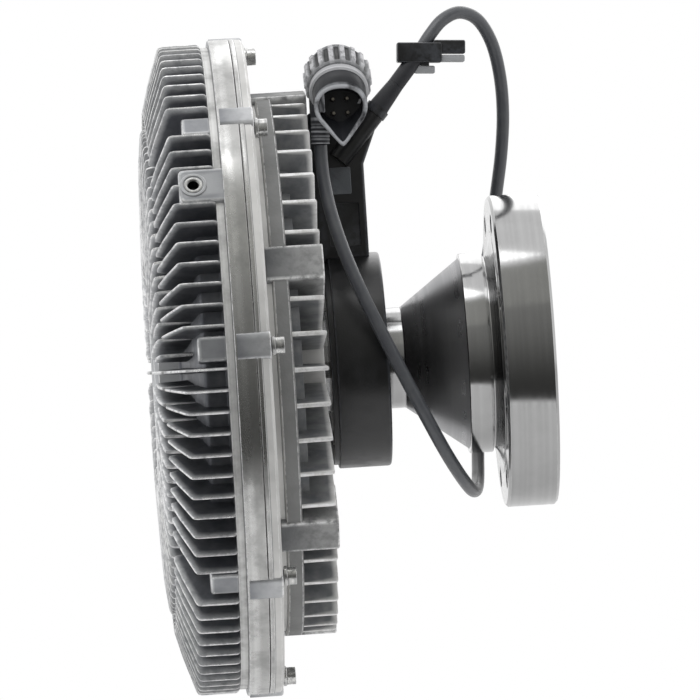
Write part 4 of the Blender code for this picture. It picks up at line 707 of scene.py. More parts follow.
@dataclass(frozen=True)
class TurnedMetal(Finish):
    """Metal turned on a lathe: fine lines round the axis, faint bands of another gloss, and stains."""

    edge: Colour = (0.92, 0.92, 0.92)
    wear_and_highlight: float = 0.6
    dust_and_shade: float = 0.8
    pocket: Colour = (0.08, 0.08, 0.085)
    dull: Colour = (0.5, 0.5, 0.5)
    lines: float = 5000.0
    deep: float = 0.000006
    stain: float = 0.1

    def build(self) -> Material:
        """Makes the material."""
        material, nodes = new_material(self.name)
        wear_and_highlight, dust_and_shade = self.masks(nodes)
        cut = effect(nodes, Effect.TURNED_LINES, Lines_per_Metre=self.lines).outputs
        marks = effect(nodes, Effect.FINE_GRAIN, Mark_Scale=70.0).outputs["Marks"]
        stains = nodes.math("MULTIPLY", marks, self.stain)
        colour = nodes.mix(cut["Bands"], self.colour, self.dull)
        colour = nodes.mix(stains, colour, darker(self.colour, 0.4))
        # Pockets take the dark pocket colour as dust and painted shade; edges take the edge colour as rubbed wear and
        # painted highlight.
        colour = nodes.mix(wear_and_highlight, nodes.mix(dust_and_shade, colour, self.pocket), self.edge)
        rough = nodes.ramp(cut["Bands"], 0.0, 1.0, self.roughness, 1.25 * self.roughness)
        rough = nodes.math("ADD", rough, nodes.math("MULTIPLY", stains, 0.2))
        self.shade(nodes, colour, rough, cut["Height"], self.deep)
        return material


@dataclass(frozen=True)
class Coating(Finish):
    """Paint or a moulding: fine grain, paler marks from handling, edges rubbed lighter with painted highlight, and
    dust with painted shade in hollows.
    """

    edge: Colour = (0.25, 0.25, 0.26)
    wear_and_highlight: float = 0.6
    wear_and_highlight_scale: float = 320.0
    dust_and_shade: float = 0.6
    marks: Colour = (0.06, 0.06, 0.065)
    # Share of the colour left in hollows, darkened as dust and painted shade.
    pocket_share: float = 0.35
    grain: float = 0.00003
    scale: float = 1800.0

    def build(self) -> Material:
        """Makes the material."""
        material, nodes = new_material(self.name)
        wear_and_highlight, dust_and_shade = self.masks(nodes)
        grain = effect(nodes, Effect.FINE_GRAIN, Scale=self.scale).outputs
        colour = nodes.mix(grain["Marks"], self.colour, self.marks)
        # Hollows darken to a share of the colour, as dust and painted shade.
        colour = nodes.mix(dust_and_shade, colour, darker(self.colour, self.pocket_share))
        rough = nodes.ramp(grain["Marks"], 0.0, 1.0, self.roughness, self.roughness + 0.12)
        # Edges lighten as rubbed wear and painted highlight.
        self.shade(nodes, nodes.mix(wear_and_highlight, colour, self.edge), rough, grain["Height"], self.grain)
        return material


# Edge colours stand for rubbed edges and painted highlight; pocket colours and shares for dust and painted shade in
# hollows.
CAST_COVER = CastMetal("cast_cover", (0.52, 0.53, 0.545), 0.42, 0.75, pocket=(0.1, 0.106, 0.126))
CAST_HOUSING = CastMetal("cast_housing", (0.72, 0.715, 0.7), 0.46, 0.45, pocket=(0.12, 0.13, 0.145))
CAST_ROUGH = CastMetal(
    "cast_rough", (0.27, 0.272, 0.27), 0.6, 0.4, pocket=(0.09, 0.098, 0.11), grain=0.00016, scale=700.0
)
TURNED_GROOVE = TurnedMetal(
    "turned_aluminium", (0.78, 0.78, 0.77), 0.45, 0.7, dull=(0.62, 0.62, 0.61), deep=0.000004, stain=0.6
)
TURNED_BAND = TurnedMetal(
    "turned_band", (0.74, 0.74, 0.73), 0.22, 1.0, dull=(0.52, 0.52, 0.51), deep=0.0000012, lines=2500.0, stain=0.6
)
FLANGE_STEEL = TurnedMetal("turned_steel", (0.5, 0.5, 0.5), 0.12, 1.0, dull=(0.46, 0.46, 0.46), deep=0.0000005)
BEARING_STEEL = TurnedMetal("bearing_steel", (0.72, 0.72, 0.73), 0.18, 1.0, lines=9000.0, deep=0.000002)
SCREW_STEEL = TurnedMetal("screw_steel", (0.82, 0.82, 0.8), 0.26, 1.0, lines=8000.0, deep=0.000003)
CONE_STEEL = TurnedMetal("cone_steel", (0.4, 0.4, 0.41), 0.27, 1.0, dull=(0.38, 0.38, 0.39), deep=0.0000003)
BLACK_MOULDING = Coating(
    "black_moulding", (0.004, 0.0042, 0.0052), 0.34, specular=0.7, coat=0.15, coat_roughness=0.3,
    marks=(0.009, 0.0092, 0.011), edge=(0.09, 0.1, 0.12), wear_and_highlight=0.5,
)
CONNECTOR_MOULDING = Coating(
    "connector_moulding", (0.022, 0.023, 0.028), 0.42, edge=(0.4, 0.41, 0.43), marks=(0.03, 0.032, 0.038), wear_and_highlight=1.4,
    wear_and_highlight_scale=90.0,
)
COLLAR_MOULDING = Coating(
    "collar_moulding", (0.5, 0.505, 0.52), 0.35, edge=(0.75, 0.75, 0.77), marks=(0.42, 0.425, 0.44), wear_and_highlight=1.4,
    wear_and_highlight_scale=90.0,
)
# The notches go almost black, a painted shade.
RING_MOULDING = Coating(
    "ring_moulding", (0.24, 0.245, 0.255), 0.4, edge=(0.6, 0.6, 0.62), marks=(0.19, 0.195, 0.2), wear_and_highlight=1.3, dust_and_shade=0.97,
    pocket_share=0.05,
)
POLE_STEEL = TurnedMetal("pole_steel", (0.3, 0.3, 0.31), 0.4, 1.0, dull=(0.2, 0.2, 0.21), lines=6000.0)
CONTACT = TurnedMetal("contact", (0.3, 0.28, 0.24), 0.3, 1.0, dull=(0.2, 0.18, 0.16), lines=9000.0, deep=0.000002)
PAD_MOULDING = Coating("pad_moulding", (0.09, 0.1, 0.11), 0.5, edge=(0.25, 0.26, 0.28))
SLEEVE_RUBBER = Coating("sleeve_rubber", (0.02, 0.021, 0.026), 0.5, edge=(0.1, 0.1, 0.11), marks=(0.03, 0.031, 0.037))
CABLE_JACKET = Coating(
    "cable_jacket", (0.062, 0.066, 0.076), 0.36, coat=0.3, specular=0.7, edge=(0.2, 0.2, 0.2),
    marks=(0.08, 0.085, 0.092),
)
CLIP_LIP = Coating("clip_lip", (0.34, 0.35, 0.36), 0.4, edge=(0.5, 0.5, 0.52), marks=(0.3, 0.31, 0.32))
SEAL_RUBBER = Coating("seal_rubber", (0.015, 0.015, 0.016), 0.6)
WINDING = TurnedMetal("winding", (0.6, 0.28, 0.13), 0.35, 1.0, dull=(0.35, 0.14, 0.06), lines=1500.0, deep=0.0001)
BRASS = TurnedMetal("brass", (0.78, 0.6, 0.3), 0.24, 1.0, dull=(0.6, 0.45, 0.22), lines=9000.0, deep=0.000002)


# Studio


@dataclass
class Studio:
    """Camera, lamps, world and floor of a plain pale product studio."""

    centre: Triple = (-83.6, 0.0, 4.5)
    distance: float = 4000.0
    view_width: float = 297.5
    sensor: float = 36.0
    azimuth: float = math.radians(-2.3)
    roll: float = math.radians(3.6)
    floor_z: float = -300.0
    floor_radius: float = 3000.0
    flag_radius: float = 500.0
    lamps: tuple[tuple[str, Triple, float, float], ...] = (
        ("key_lamp", (-500.0, -900.0, 1500.0), 1500.0, 11.0), ("fill_lamp", (500.0, 1200.0, 900.0), 1300.0, 5.0),
    )
    flag_side: float = 78.0
    flag_height: Pair = (-42.0, 64.0)
    plain_level: float = 0.62
    floor_white: float = 0.55

    def build(self) -> None:
        """Sets up the whole studio and the plain view transform."""
        bpy.context.scene.view_settings.view_transform = "Standard"
        self.camera()
        self.world()
        self.floor()
        self.flag()
        for lamp in self.lamps:
            self.lamp(*lamp)

    def camera(self) -> None:
        """Long lens at the photograph's angle: level, a little to the fan side, and tilted."""
        data = bpy.data.cameras.new("camera")
        data.sensor_width = self.sensor
        data.lens = self.sensor * self.distance / self.view_width
        data.clip_start, data.clip_end = 0.1, 100.0
        ahead = Vector((math.sin(-self.azimuth), math.cos(self.azimuth), 0.0))
        up = Vector((0.0, 0.0, 1.0))
        side = ahead.cross(up)
        right = side * math.cos(self.roll) - up * math.sin(self.roll)
        top = up * math.cos(self.roll) + side * math.sin(self.roll)
        place = (Vector(self.centre) - ahead * self.distance) * MM
        turn = Matrix((right, top, -ahead)).transposed().to_4x4()
        obj = add_object("camera", data)
        obj.matrix_world = Matrix.Translation(place) @ turn
        bpy.context.scene.camera = obj

    def world(self) -> None:
        """White for the camera and for reflections, and a plain soft level for matt surfaces."""
        world = bpy.data.worlds.new("studio")
        nodes = clear_tree(world)
        path = nodes.add("ShaderNodeLightPath")
        seen = nodes.math("MAXIMUM", path.outputs["Is Camera Ray"], path.outputs["Is Transmission Ray"])
        seen = nodes.math("MAXIMUM", seen, path.outputs["Is Glossy Ray"])
        level = nodes.math("ADD", nodes.math("MULTIPLY", seen, 1.0 - self.plain_level), self.plain_level)
        back = nodes.add("ShaderNodeBackground", {"Color": (1.0, 1.0, 1.0, 1.0), "Strength": level})
        nodes.add("ShaderNodeOutputWorld", {"Surface": back.outputs[0]})
        bpy.context.scene.world = world

    def floor(self) -> None:
        """Pale round floor below the part, white to the camera but for the part's shadow."""
        surface = Surface("floor")
        radii = np.array([0.0, 0.2, 0.5, 1.0])[:, None] * self.floor_radius
        angle = turn_angles(64)[None, :]
        points = np.stack(np.broadcast_arrays(radii * np.cos(angle), radii * np.sin(angle), self.floor_z), axis=-1)
        surface.grid(points)
        obj = surface.build()
        obj.data.materials.append(self.floor_material())
        if obj.data.polygons[0].normal.z < 0:
            obj.data.flip_normals()

    def floor_material(self) -> Material:
        """Matt pale floor; a share of what the camera sees of it is plain white."""
        material, nodes = new_material("pale_floor")
        matt = nodes.add("ShaderNodeBsdfDiffuse", {"Color": (0.9, 0.9, 0.9, 1.0)})
        white = nodes.add("ShaderNodeEmission", {"Color": (1.0, 1.0, 1.0, 1.0)})
        camera = nodes.add("ShaderNodeLightPath").outputs["Is Camera Ray"]
        share = nodes.math("MULTIPLY", camera, self.floor_white)
        both = nodes.add("ShaderNodeMixShader", {0: share, 1: matt.outputs[0], 2: white.outputs[0]})
        nodes.add("ShaderNodeOutputMaterial", {"Surface": both.outputs[0]})
        return material

    def flag(self) -> None:
        """Grey card in front of the part, seen only in reflections: it gives round metal its dark middle.

        Formula: a patch of a sphere, point = radius (sin a cos e, -cos a cos e, sin e), with a the angle
        to the side and e the height angle.
        """
        surface = Surface("studio_card")
        side = np.radians(np.linspace(-self.flag_side, self.flag_side, 33))[None, :]
        height = np.radians(np.linspace(*self.flag_height, 27))[:, None]
        flat = np.cos(height)
        points = np.stack(
            np.broadcast_arrays(np.sin(side) * flat, -np.cos(side) * flat, np.sin(height) + 0 * side), axis=-1
        )
        surface.grid(points * self.flag_radius + np.array(self.centre), loop=False)
        obj = surface.build()
        obj.data.materials.append(self.flag_material())
        for ray in ("camera", "diffuse", "shadow", "transmission"):
            setattr(obj, f"visible_{ray}", False)

    def flag_material(self) -> Material:
        """Grey in two steps on the card, and white at its rims."""
        material, nodes = new_material("card")
        apart = nodes.add("ShaderNodeSeparateXYZ", {0: nodes.place()})
        high = nodes.math("DIVIDE", apart.outputs[2], self.flag_radius * MM)
        along = nodes.math("SUBTRACT", apart.outputs[0], self.centre[0] * MM)
        wide = nodes.math("ABSOLUTE", nodes.math("DIVIDE", along, self.flag_radius * MM))
        dark = nodes.mix(nodes.ramp(high, -0.5, 0.5), (0.05, 0.05, 0.048), (0.26, 0.26, 0.25))
        colour = nodes.mix(nodes.ramp(high, 0.48, 0.53), dark, (0.37, 0.37, 0.35))
        above, below = nodes.ramp(high, 0.86, 0.895), nodes.ramp(high, -0.54, -0.59)
        light = nodes.math("MAXIMUM", nodes.math("MAXIMUM", above, below), nodes.ramp(wide, 0.75, 0.95))
        colour = nodes.mix(light, colour, (1.0, 1.0, 1.0))
        glow = nodes.add("ShaderNodeEmission", {"Color": colour})
        nodes.add("ShaderNodeOutputMaterial", {"Surface": glow.outputs[0]})
        return material

    def lamp(self, name: str, place: Triple, size: float, power: float) -> None:
        """Adds one large soft lamp that looks at the part.

        Args:
            name: Name of the lamp.
            place: Where it stands.
            size: Side of its square.
            power: Its power in watts.
        """
        data = bpy.data.lights.new(name, "AREA")
        data.size = size * MM
        data.energy = power
        obj = add_object(name, data)
        obj.location = Vector(place) * MM
        ahead = (Vector(self.centre) - Vector(place)).normalized()
        obj.rotation_euler = ahead.to_track_quat("-Z", "Y").to_euler()


# Cable and what sits on it


def smooth_path(points: Array, steps: int) -> Array:
    """A smooth line through given points.

    Formula: Catmull-Rom, 0.5 (2b + (c - a) t + (2a - 5b + 4c - d) t^2 + (3b - a - 3c + d) t^3).
    """
    ends = np.concatenate([2 * points[:1] - points[1:2], points, 2 * points[-1:] - points[-2:-1]])
    a, b, c, d = (ends[k : len(ends) - 3 + k, None, :] for k in range(4))
    t = np.linspace(0, 1, steps, endpoint=False)[None, :, None]
    line = 0.5 * (2 * b + (c - a) * t + (2 * a - 5 * b + 4 * c - d) * t**2 + (3 * b - a - 3 * c + d) * t**3)
    return np.concatenate([line.reshape(-1, 3), points[-1:]])


def even_path(line: Array, spacing: float) -> Array:
    """Points at even distances on a line of points."""
    walked = np.concatenate([[0.0], np.cumsum(np.linalg.norm(np.diff(line, axis=0), axis=1))])
    wanted = np.linspace(0.0, walked[-1], round(walked[-1] / spacing) + 1)
    return np.stack([np.interp(wanted, walked, line[:, k]) for k in range(3)], axis=-1)


def path_frames(line: Array) -> tuple[Array, Array]:
    """Two directions square to a path at each of its points, which turn with it as little as they can."""
    along = unit(np.gradient(line, axis=0))
    side = np.zeros_like(line)
    helper = Z if abs(along[0, 2]) < 0.9 else X
    side[0] = unit(np.cross(along[0], helper))
    for k in range(1, len(line)):
        side[k] = unit(side[k - 1] - along[k] * np.dot(side[k - 1], along[k]))
    return side, np.cross(along, side)


def tube(surface: Surface, line: Array, radius: Array | float, columns: int, edge: Array | float = 0.0) -> None:
    """Adds a round tube along a path, its ends closed.

    Formula: point = path + radius (cos(a) side + sin(a) up), with the radius 0 at both ends.

    Args:
        surface: Where it goes.
        line: Points of the path.
        radius: Radius, one or one for each point.
        columns: Points around.
        edge: Mark of rubbed edges and painted highlight, one or one for each point.
    """
    line, side, up = (np.concatenate([rows[:1], rows, rows[-1:]])[:, None, :] for rows in (line, *path_frames(line)))
    size, mark = (np.pad(np.broadcast_to(value, len(line) - 2), 1)[:, None] for value in (radius, edge))
    angle = turn_angles(columns)[:, None]
    surface.grid(line + size[..., None] * (np.cos(angle) * side + np.sin(angle) * up), edge=mark)


ROUTE = np.array([
    (-57.6, -11.3, 115.6), (-52.4, -10.4, 121.8), (-46.9, -8.8, 128.6), (-41.6, -6.6, 135.8), (-35.6, -3.0, 142.0),
    (-28.0, 2.0, 144.9), (-20.2, 8.0, 141.6), (-14.4, 14.5, 131.6), (-11.4, 21.0, 117.5), (-10.7, 27.5, 102.0),
    (-12.0, 35.0, 85.5), (-14.6, 45.0, 68.5), (-17.6, 56.5, 50.5), (-20.6, 66.0, 31.0), (-23.4, 70.6, 10.5),
    (-26.0, 68.5, -10.5), (-28.2, 58.0, -29.5), (-29.9, 41.5, -45.0), (-31.8, 20.5, -55.5), (-34.8, -1.5, -58.6),
    (-40.2, -23.0, -53.0), (-47.6, -39.5, -41.0), (-55.6, -49.0, -25.0), (-63.6, -53.0, -8.0), (-71.4, -54.0, 9.5),
    (-78.8, -52.4, 27.0), (-85.0, -48.0, 44.5), (-89.4, -42.0, 61.5), (-91.4, -36.2, 75.0), (-91.9, -33.7, 84.0),
    (-91.9, -33.5, 91.4),
])
ARM_OUTLET = np.array([-65.6, -12.2, 106.3])


@dataclass
class CableRun:
    """The free cable from the arm's outlet to the connector, with its sleeve and clip."""

    radius: float = 2.75
    step: float = 1.5
    curve_steps: int = 24
    columns: int = 24
    sleeve_columns: int = 28
    sleeve_radii: Pair = (4.4, 3.5)
    clip_point: int = 2
    clip_depth: float = 9.6
    clip_lean: float = math.radians(3.6)
    clip_blocks: tuple[tuple[int, Pair, Pair, float], ...] = (
        (0, (-9.4, -4.3), (9.6, 4.2), 0.0), (0, (6.0, -0.5), (19.6, 5.3), 0.9), (1, (8.6, -4.0), (19.4, -1.0), 1.4),
        (1, (-2.0, -8.9), (6.8, -5.6), 2.6), (0, (0.6, -6.4), (4.4, -3.5), 3.0),
    )

    def line(self) -> Array:
        """The cable's centre line."""
        return even_path(smooth_path(ROUTE, self.curve_steps), self.step)

    def cable(self) -> Object:
        """The round jacket along its route, in an over-sleeve as far as the clip."""
        surface = Surface("cable_jacket")
        line = self.line()
        tube(surface, line, self.radius, self.columns)
        clip = ROUTE[self.clip_point]
        covered = line[: int(np.argmin(np.linalg.norm(line - clip, axis=1)))]
        tube(surface, covered, self.sleeve_radii[1], self.sleeve_columns)
        piece = surface.build(CABLE_JACKET, SLEEVE_RUBBER)
        slots = np.zeros(len(piece.data.polygons), dtype=np.int32)
        slots[(len(line) + 1) * self.columns :] = 1
        piece.data.polygons.foreach_set("material_index", slots)
        return dress(piece, "magnet", "cable_jacket", "cable")

    def sleeve(self) -> Object:
        """Rubber sleeve out of the arm: the radius falls evenly along it."""
        surface = Surface("sleeve")
        share = np.linspace(0.0, 1.0, 9)
        line = ARM_OUTLET + share[:, None] * (ROUTE[0] - ARM_OUTLET)
        wide, narrow = self.sleeve_radii
        tube(surface, line, wide + (narrow - wide) * share, self.sleeve_columns)
        piece = surface.build(SLEEVE_RUBBER)
        return dress(piece, "magnet", "sleeve_rubber", "cable_sleeve")

    def clip(self) -> Object:
        """Cable clip: a block round the cable, a flat tab over a paler lip, and a small foot below."""
        surface = Surface("clip")
        along = math.cos(self.clip_lean) * X - math.sin(self.clip_lean) * Z
        up = math.sin(self.clip_lean) * X + math.cos(self.clip_lean) * Z
        axes = Axes(ROUTE[self.clip_point], along, up, -Y)
        deep = self.clip_depth / 2
        for slot, low, high, inset in self.clip_blocks:
            prism(surface, axes, box(*low, *high), -deep + inset, deep - inset, 0.9, 0.6, slot=slot)
        piece = surface.build(BLACK_MOULDING, CLIP_LIP)
        return dress(piece, "magnet", "clip_plastic", "cable_clip")

    def build(self, far_pieces: Sequence[Object | str]) -> None:
        """Args:
            far_pieces: The pieces, or names of solids, at the cable's far end; not used.
        """
        cable, _, clip = self.cable(), self.sleeve(), self.clip()


def dress(piece: Object, body: str, slot: str, *nodes: str) -> Object:
    """Hangs a piece on its body and hides the nodes that it stands for.

    Args:
        piece: The new piece.
        body: Body that it rides on.
        slot: Name of the material slot; not used.
        nodes: CAD nodes that it replaces, if any.

    Returns:
        The piece.
    """
    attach(piece, body)
    if nodes:
        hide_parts(*nodes)
    LOG.info("%s on %s, %d faces", piece.name, body, len(piece.data.polygons))
    return piece


# Front cover


@dataclass
class FrontCover:
    """Finned aluminium cover on the fan side."""

    flange_radius: float = 139.4
    seam_x: float = -127.65
    strip_radius: float = 136.4
    strip_x: float = -139.8
    band_x: float = -136.3
    rim_radius: float = 126.0
    front_x: float = -169.3
    boss_x: float = -167.7
    boss_radius: float = 36.0
    dome: tuple[Pair, ...] = ((-149.0, 126.0), (-152.5, 108.0), (-156.5, 61.0), (-156.5, 42.0))
    chamber_radius: float = 121.0
    chamber_x: float = -139.5
    rim_fins: int = 96
    rim_fin_thick: Pair = (2.4, 1.25)
    rim_fin_radius: float = 138.0
    rim_fin_middle: float = 132.0
    block_base: float = 122.0
    front_fins: int = 48
    front_fin_thick: Pair = (2.6, 1.4)
    screws: int = 8
    screw_angle: float = math.radians(-3.6)
    lug_width: float = 10.6
    lug_length: float = 11.6
    lug_radius: float = 135.2
    pad_angle: float = math.radians(-33.5)
    pad_width: float = 16.0
    pad_ends: Pair = (-154.6, -131.6)
    pad_height: float = 16.35
    plug_x: float = -148.6
    plug_radius: float = 4.2

    def screw_angles(self) -> Array:
        """Where the cover's screws and lugs stand."""
        return self.screw_angle + turn_angles(self.screws)

    def shell(self) -> Object:
        """The cover without fins: flange, turned groove, rim, dome and centre boss, closed by the chamber."""
        surface = Surface("cover_shell")
        outer = [
            (self.chamber_x, 0.0), (self.chamber_x, self.chamber_radius), (self.seam_x, self.chamber_radius),
            (self.seam_x, self.flange_radius), (self.band_x, self.flange_radius), (self.band_x, self.strip_radius),
            (self.strip_x, self.strip_radius), (self.strip_x, self.rim_radius), *self.dome,
            (self.boss_x + 1.6, self.boss_radius + 3.0), (self.boss_x, self.boss_radius), (self.boss_x, 14.0),
            (self.boss_x + 1.2, 12.5), (self.boss_x + 1.2, 0.0),
        ]
        radii = [0, 0.5, 0.3, 0.5, 0.6, 0.5, 0.5, 1.5, 3.0, 3.0, 8.0, 2.0, 1.0, 1.0, 0.4, 0.4, 0]
        turned(surface, CLUTCH, outer, radii)
        piece = surface.build(CAST_COVER, TURNED_GROOVE, TURNED_BAND)
        paint_zone(piece, 1, (self.strip_x, self.band_x), (self.strip_radius - 1.0, self.flange_radius))
        paint_zone(piece, 2, (self.band_x + 0.3, self.seam_x), (self.flange_radius - 1.0, self.flange_radius + 1.0))
        # Painted shade in the bay between the dome and the rim fins.
        shade_pockets(piece, (-158.0, self.strip_x - 0.3), (self.boss_radius + 6.0, self.rim_radius + 1.0))
        return piece

    def fins(self) -> Object:
        """Rim fins and front fins: none where a lug stands, and low ones under the filler pad."""
        surface = Surface("cover_fins")
        low = self.pad_ends[0] + 1.2
        bend = [(-157.3, self.rim_fin_radius), (-162.6, 122.0), (-166.2, 108.6), (-152.0, 107.6)]
        rear = [
            (self.strip_x + 0.2, self.rim_radius - 1.5), (self.strip_x + 0.2, self.strip_radius + 0.4),
            (self.strip_x - 0.9, self.rim_fin_radius),
        ]
        under = [(self.strip_x + 0.2, self.rim_radius - 2.8), (low, self.rim_radius - 1.8), (low, self.rim_fin_radius)]
        angles = turn_angles(self.rim_fins)
        clear = away_from(angles, self.screw_angles(), (self.lug_width + 2.4) / 2 / self.rim_fin_middle)
        free = away_from(angles, np.array([self.pad_angle]), (self.pad_width - 2.4) / 2 / self.rim_fin_middle)
        root = ((-141.0, 123.5), (-150.5, 107.8))
        for start, chosen in ((rear, clear & free), (under, clear & ~free)):
            blades(surface, start + bend, root, angles[chosen], self.rim_fin_thick, 2.2)
        front = [
            (-155.5, 44.5), (self.front_x + 0.3, 46.0), (self.front_x, 61.0), (-168.2, 91.0), (-166.8, 103.2),
            (-151.5, 104.6),
        ]
        short = [(-153.5, 72.0), (-168.2, 74.0), (-168.0, 91.0), (-166.8, 103.2), (-151.5, 104.6)]
        even = turn_angles(self.front_fins)
        for tip, start, turn in ((front, (-154.5, 46.0), 0.0), (short, (-153.5, 74.0), math.pi / self.front_fins)):
            blades(surface, tip, (start, (-151.5, 103.4)), even + turn, self.front_fin_thick, 2.5, 0.5)
        return surface.build(CAST_COVER)

    def lugs(self) -> Object:
        """Screw lugs between the rim fins: rounded blocks with a domed rear end on the flange."""
        surface = Surface("cover_lugs")
        half = self.lug_width / 2
        block = box(self.strip_x - self.lug_length, -half, self.strip_x + 1.0, half)
        for angle in self.screw_angles():
            axes = Axes.rim(0.0, self.block_base, angle)
            # The lug's outer face gets a darker middle, a painted shade.
            prism(surface, axes, block, 0.0, self.lug_radius - self.block_base, 1.6, 1.0, shade=0.5)
        return surface.build(CAST_COVER)

    def pad(self) -> Object:
        """Filler pad: a milled flat from the dome edge over the groove to the flange."""
        surface = Surface("filler_pad")
        half = self.pad_width / 2
        block = box(self.pad_ends[0], -half, self.pad_ends[1], half)
        axes = Axes.rim(0.0, self.block_base, self.pad_angle)
        # The pad's face gets a darker middle, a painted shade.
        prism(surface, axes, block, 0.0, self.pad_height, 2.5, 0.8, shade=0.45)
        piece = surface.build(CAST_COVER)
        cutter = Surface("seat_cutter")
        hole = [(9.0, 0.0), (9.0, 3.9), (20.0, 3.9), (20.0, 0.0)]
        turned(cutter, Axes.rim(self.plug_x, self.block_base, self.pad_angle), hole, 0.0, ROUND_SMALL)
        carve(piece, cutter.build(CAST_COVER))
        return piece

    def seat(self) -> Object:
        """Raised ring round the filler plug."""
        surface = Surface("plug_seat")
        axes = Axes.rim(self.plug_x, self.block_base, self.pad_angle)
        ring = [(14.0, 4.35), (14.0, 5.8), (16.9, 5.5), (16.9, 4.35)]
        turned(surface, axes, ring, 0.25, ROUND_SMALL)
        return surface.build(CAST_COVER)

    def plug(self) -> Object:
        """Filler plug: a turned rim round a round socket, its walls painted black as painted shade."""
        surface = Surface("filler_plug_head")
        top = self.rim_fin_radius
        axes = Axes.rim(self.plug_x, 0.0, self.pad_angle)
        path = [
            (top - 4.5, 0.0), (top - 4.5, 2.1), (top + 0.2, 2.2), (top + 0.8, 2.7), (top + 0.8, 3.7),
            (top - 0.2, self.plug_radius), (top - 6.0, self.plug_radius), (top - 6.0, 0.0),
        ]
        turned(surface, axes, path, 0.35, ROUND_SMALL)
        piece = surface.build(SCREW_STEEL, BLACK_MOULDING)
        # The socket's walls take the black moulding, a painted shade in the hole.
        paint_zone(piece, 1, (self.plug_x - 2.15, self.plug_x + 2.15), (0.0, top + 0.1))
        return piece

    def build(self) -> None:
        """Builds the cover's pieces and hangs them on the housing."""
        dress(self.shell(), "housing", "cast_cover", "front_cover")
        for make in (self.fins, self.lugs, self.pad, self.seat):
            dress(make(), "housing", "cast_cover")
        dress(self.plug(), "housing", "plug", "filler_plug")


def away_from(angles: Array, places: Array, reach: float) -> Array:
    """Which angles lie further than the reach from all the given places."""
    gap = np.abs((angles[:, None] - places[None, :] + math.pi) % (2 * math.pi) - math.pi)
    return np.all(gap > reach, axis=1)


def bored_block(
    surface: Surface, axes: Axes, half: Pair, heights: Pair, bore: Pair, bevel: float, square: float = 16.0
) -> None:
    """Adds a block with rounded rims and a bored hole in its top.

    Formula: the outline's distance at an angle is (|cos / a|^n + |sin / b|^n)^(-1/n). Rows go from the
    bore's floor up its wall, over its chamfer, out over the face and down the sides.

    Args:
        surface: Where it goes.
        axes: The block's plane, centred on the hole.
        half: Half of its size along u and v.
        heights: Its low and high end along w.
        bore: The hole's radius and depth.
        bevel: Radius of the upper rim.
        square: The exponent n; more is squarer.
    """
    angle = turn_angles(ROUND_BLOCK) + math.pi / ROUND_BLOCK
    reach = (np.abs(np.cos(angle) / half[0]) ** square + np.abs(np.sin(angle) / half[1]) ** square) ** (-1 / square)
    low, high = heights
    hole, deep = bore
    zero = np.zeros(ROUND_BLOCK)
    turn = np.linspace(0, math.pi / 2, 4)
    rows = [(zero, high - deep), (zero + hole, high - deep), (zero + hole, high - 0.5), (zero + hole + 0.5, high)]
    rows += [(reach - bevel * (1 - math.sin(k)), high - bevel * (1 - math.cos(k))) for k in turn]
    rows += [(reach, low), (zero, low)]
    radius = np.stack([row[0] for row in rows])
    height = np.array([row[1] for row in rows])[:, None]
    corner = np.minimum(np.abs(reach * np.cos(angle)) / half[0], np.abs(reach * np.sin(angle)) / half[1])
    # Painted highlight with wear on the bore's chamfer, the upper rim and the corners; painted shade in the bore and
    # at the foot of the sides.
    sides = np.array([0, 0, 0, 0, 0, 1, 1, 1, 1, 0.0])[:, None] * np.clip((corner - 0.8) / 0.12, 0, 1)
    edge = np.maximum(np.array([0, 0, 1, 0.6, 0, 1, 1, 0.2, 0, 0.0])[:, None], sides)
    depth = np.array([1, 1, 0.5, 0, 0, 0, 0, 0, 0.6, 0.6])[:, None]
    points = axes.at(radius * np.cos(angle), radius * np.sin(angle), height)
    surface.grid(points, edge=edge, depth=depth)


def carve(piece: Object, cutter: Object) -> None:
    """Cuts one closed piece with another, and removes the second."""
    cut = piece.modifiers.new("cut", "BOOLEAN")
    cut.operation = "DIFFERENCE"
    cut.solver = "EXACT"
    cut.object = cutter
    evaluated = piece.evaluated_get(bpy.context.evaluated_depsgraph_get())
    mesh = bpy.data.meshes.new_from_object(evaluated)
    piece.modifiers.clear()
    piece.data = mesh
    bpy.data.objects.remove(cutter, do_unlink=True)
    smooth(mesh)


# Rear housing


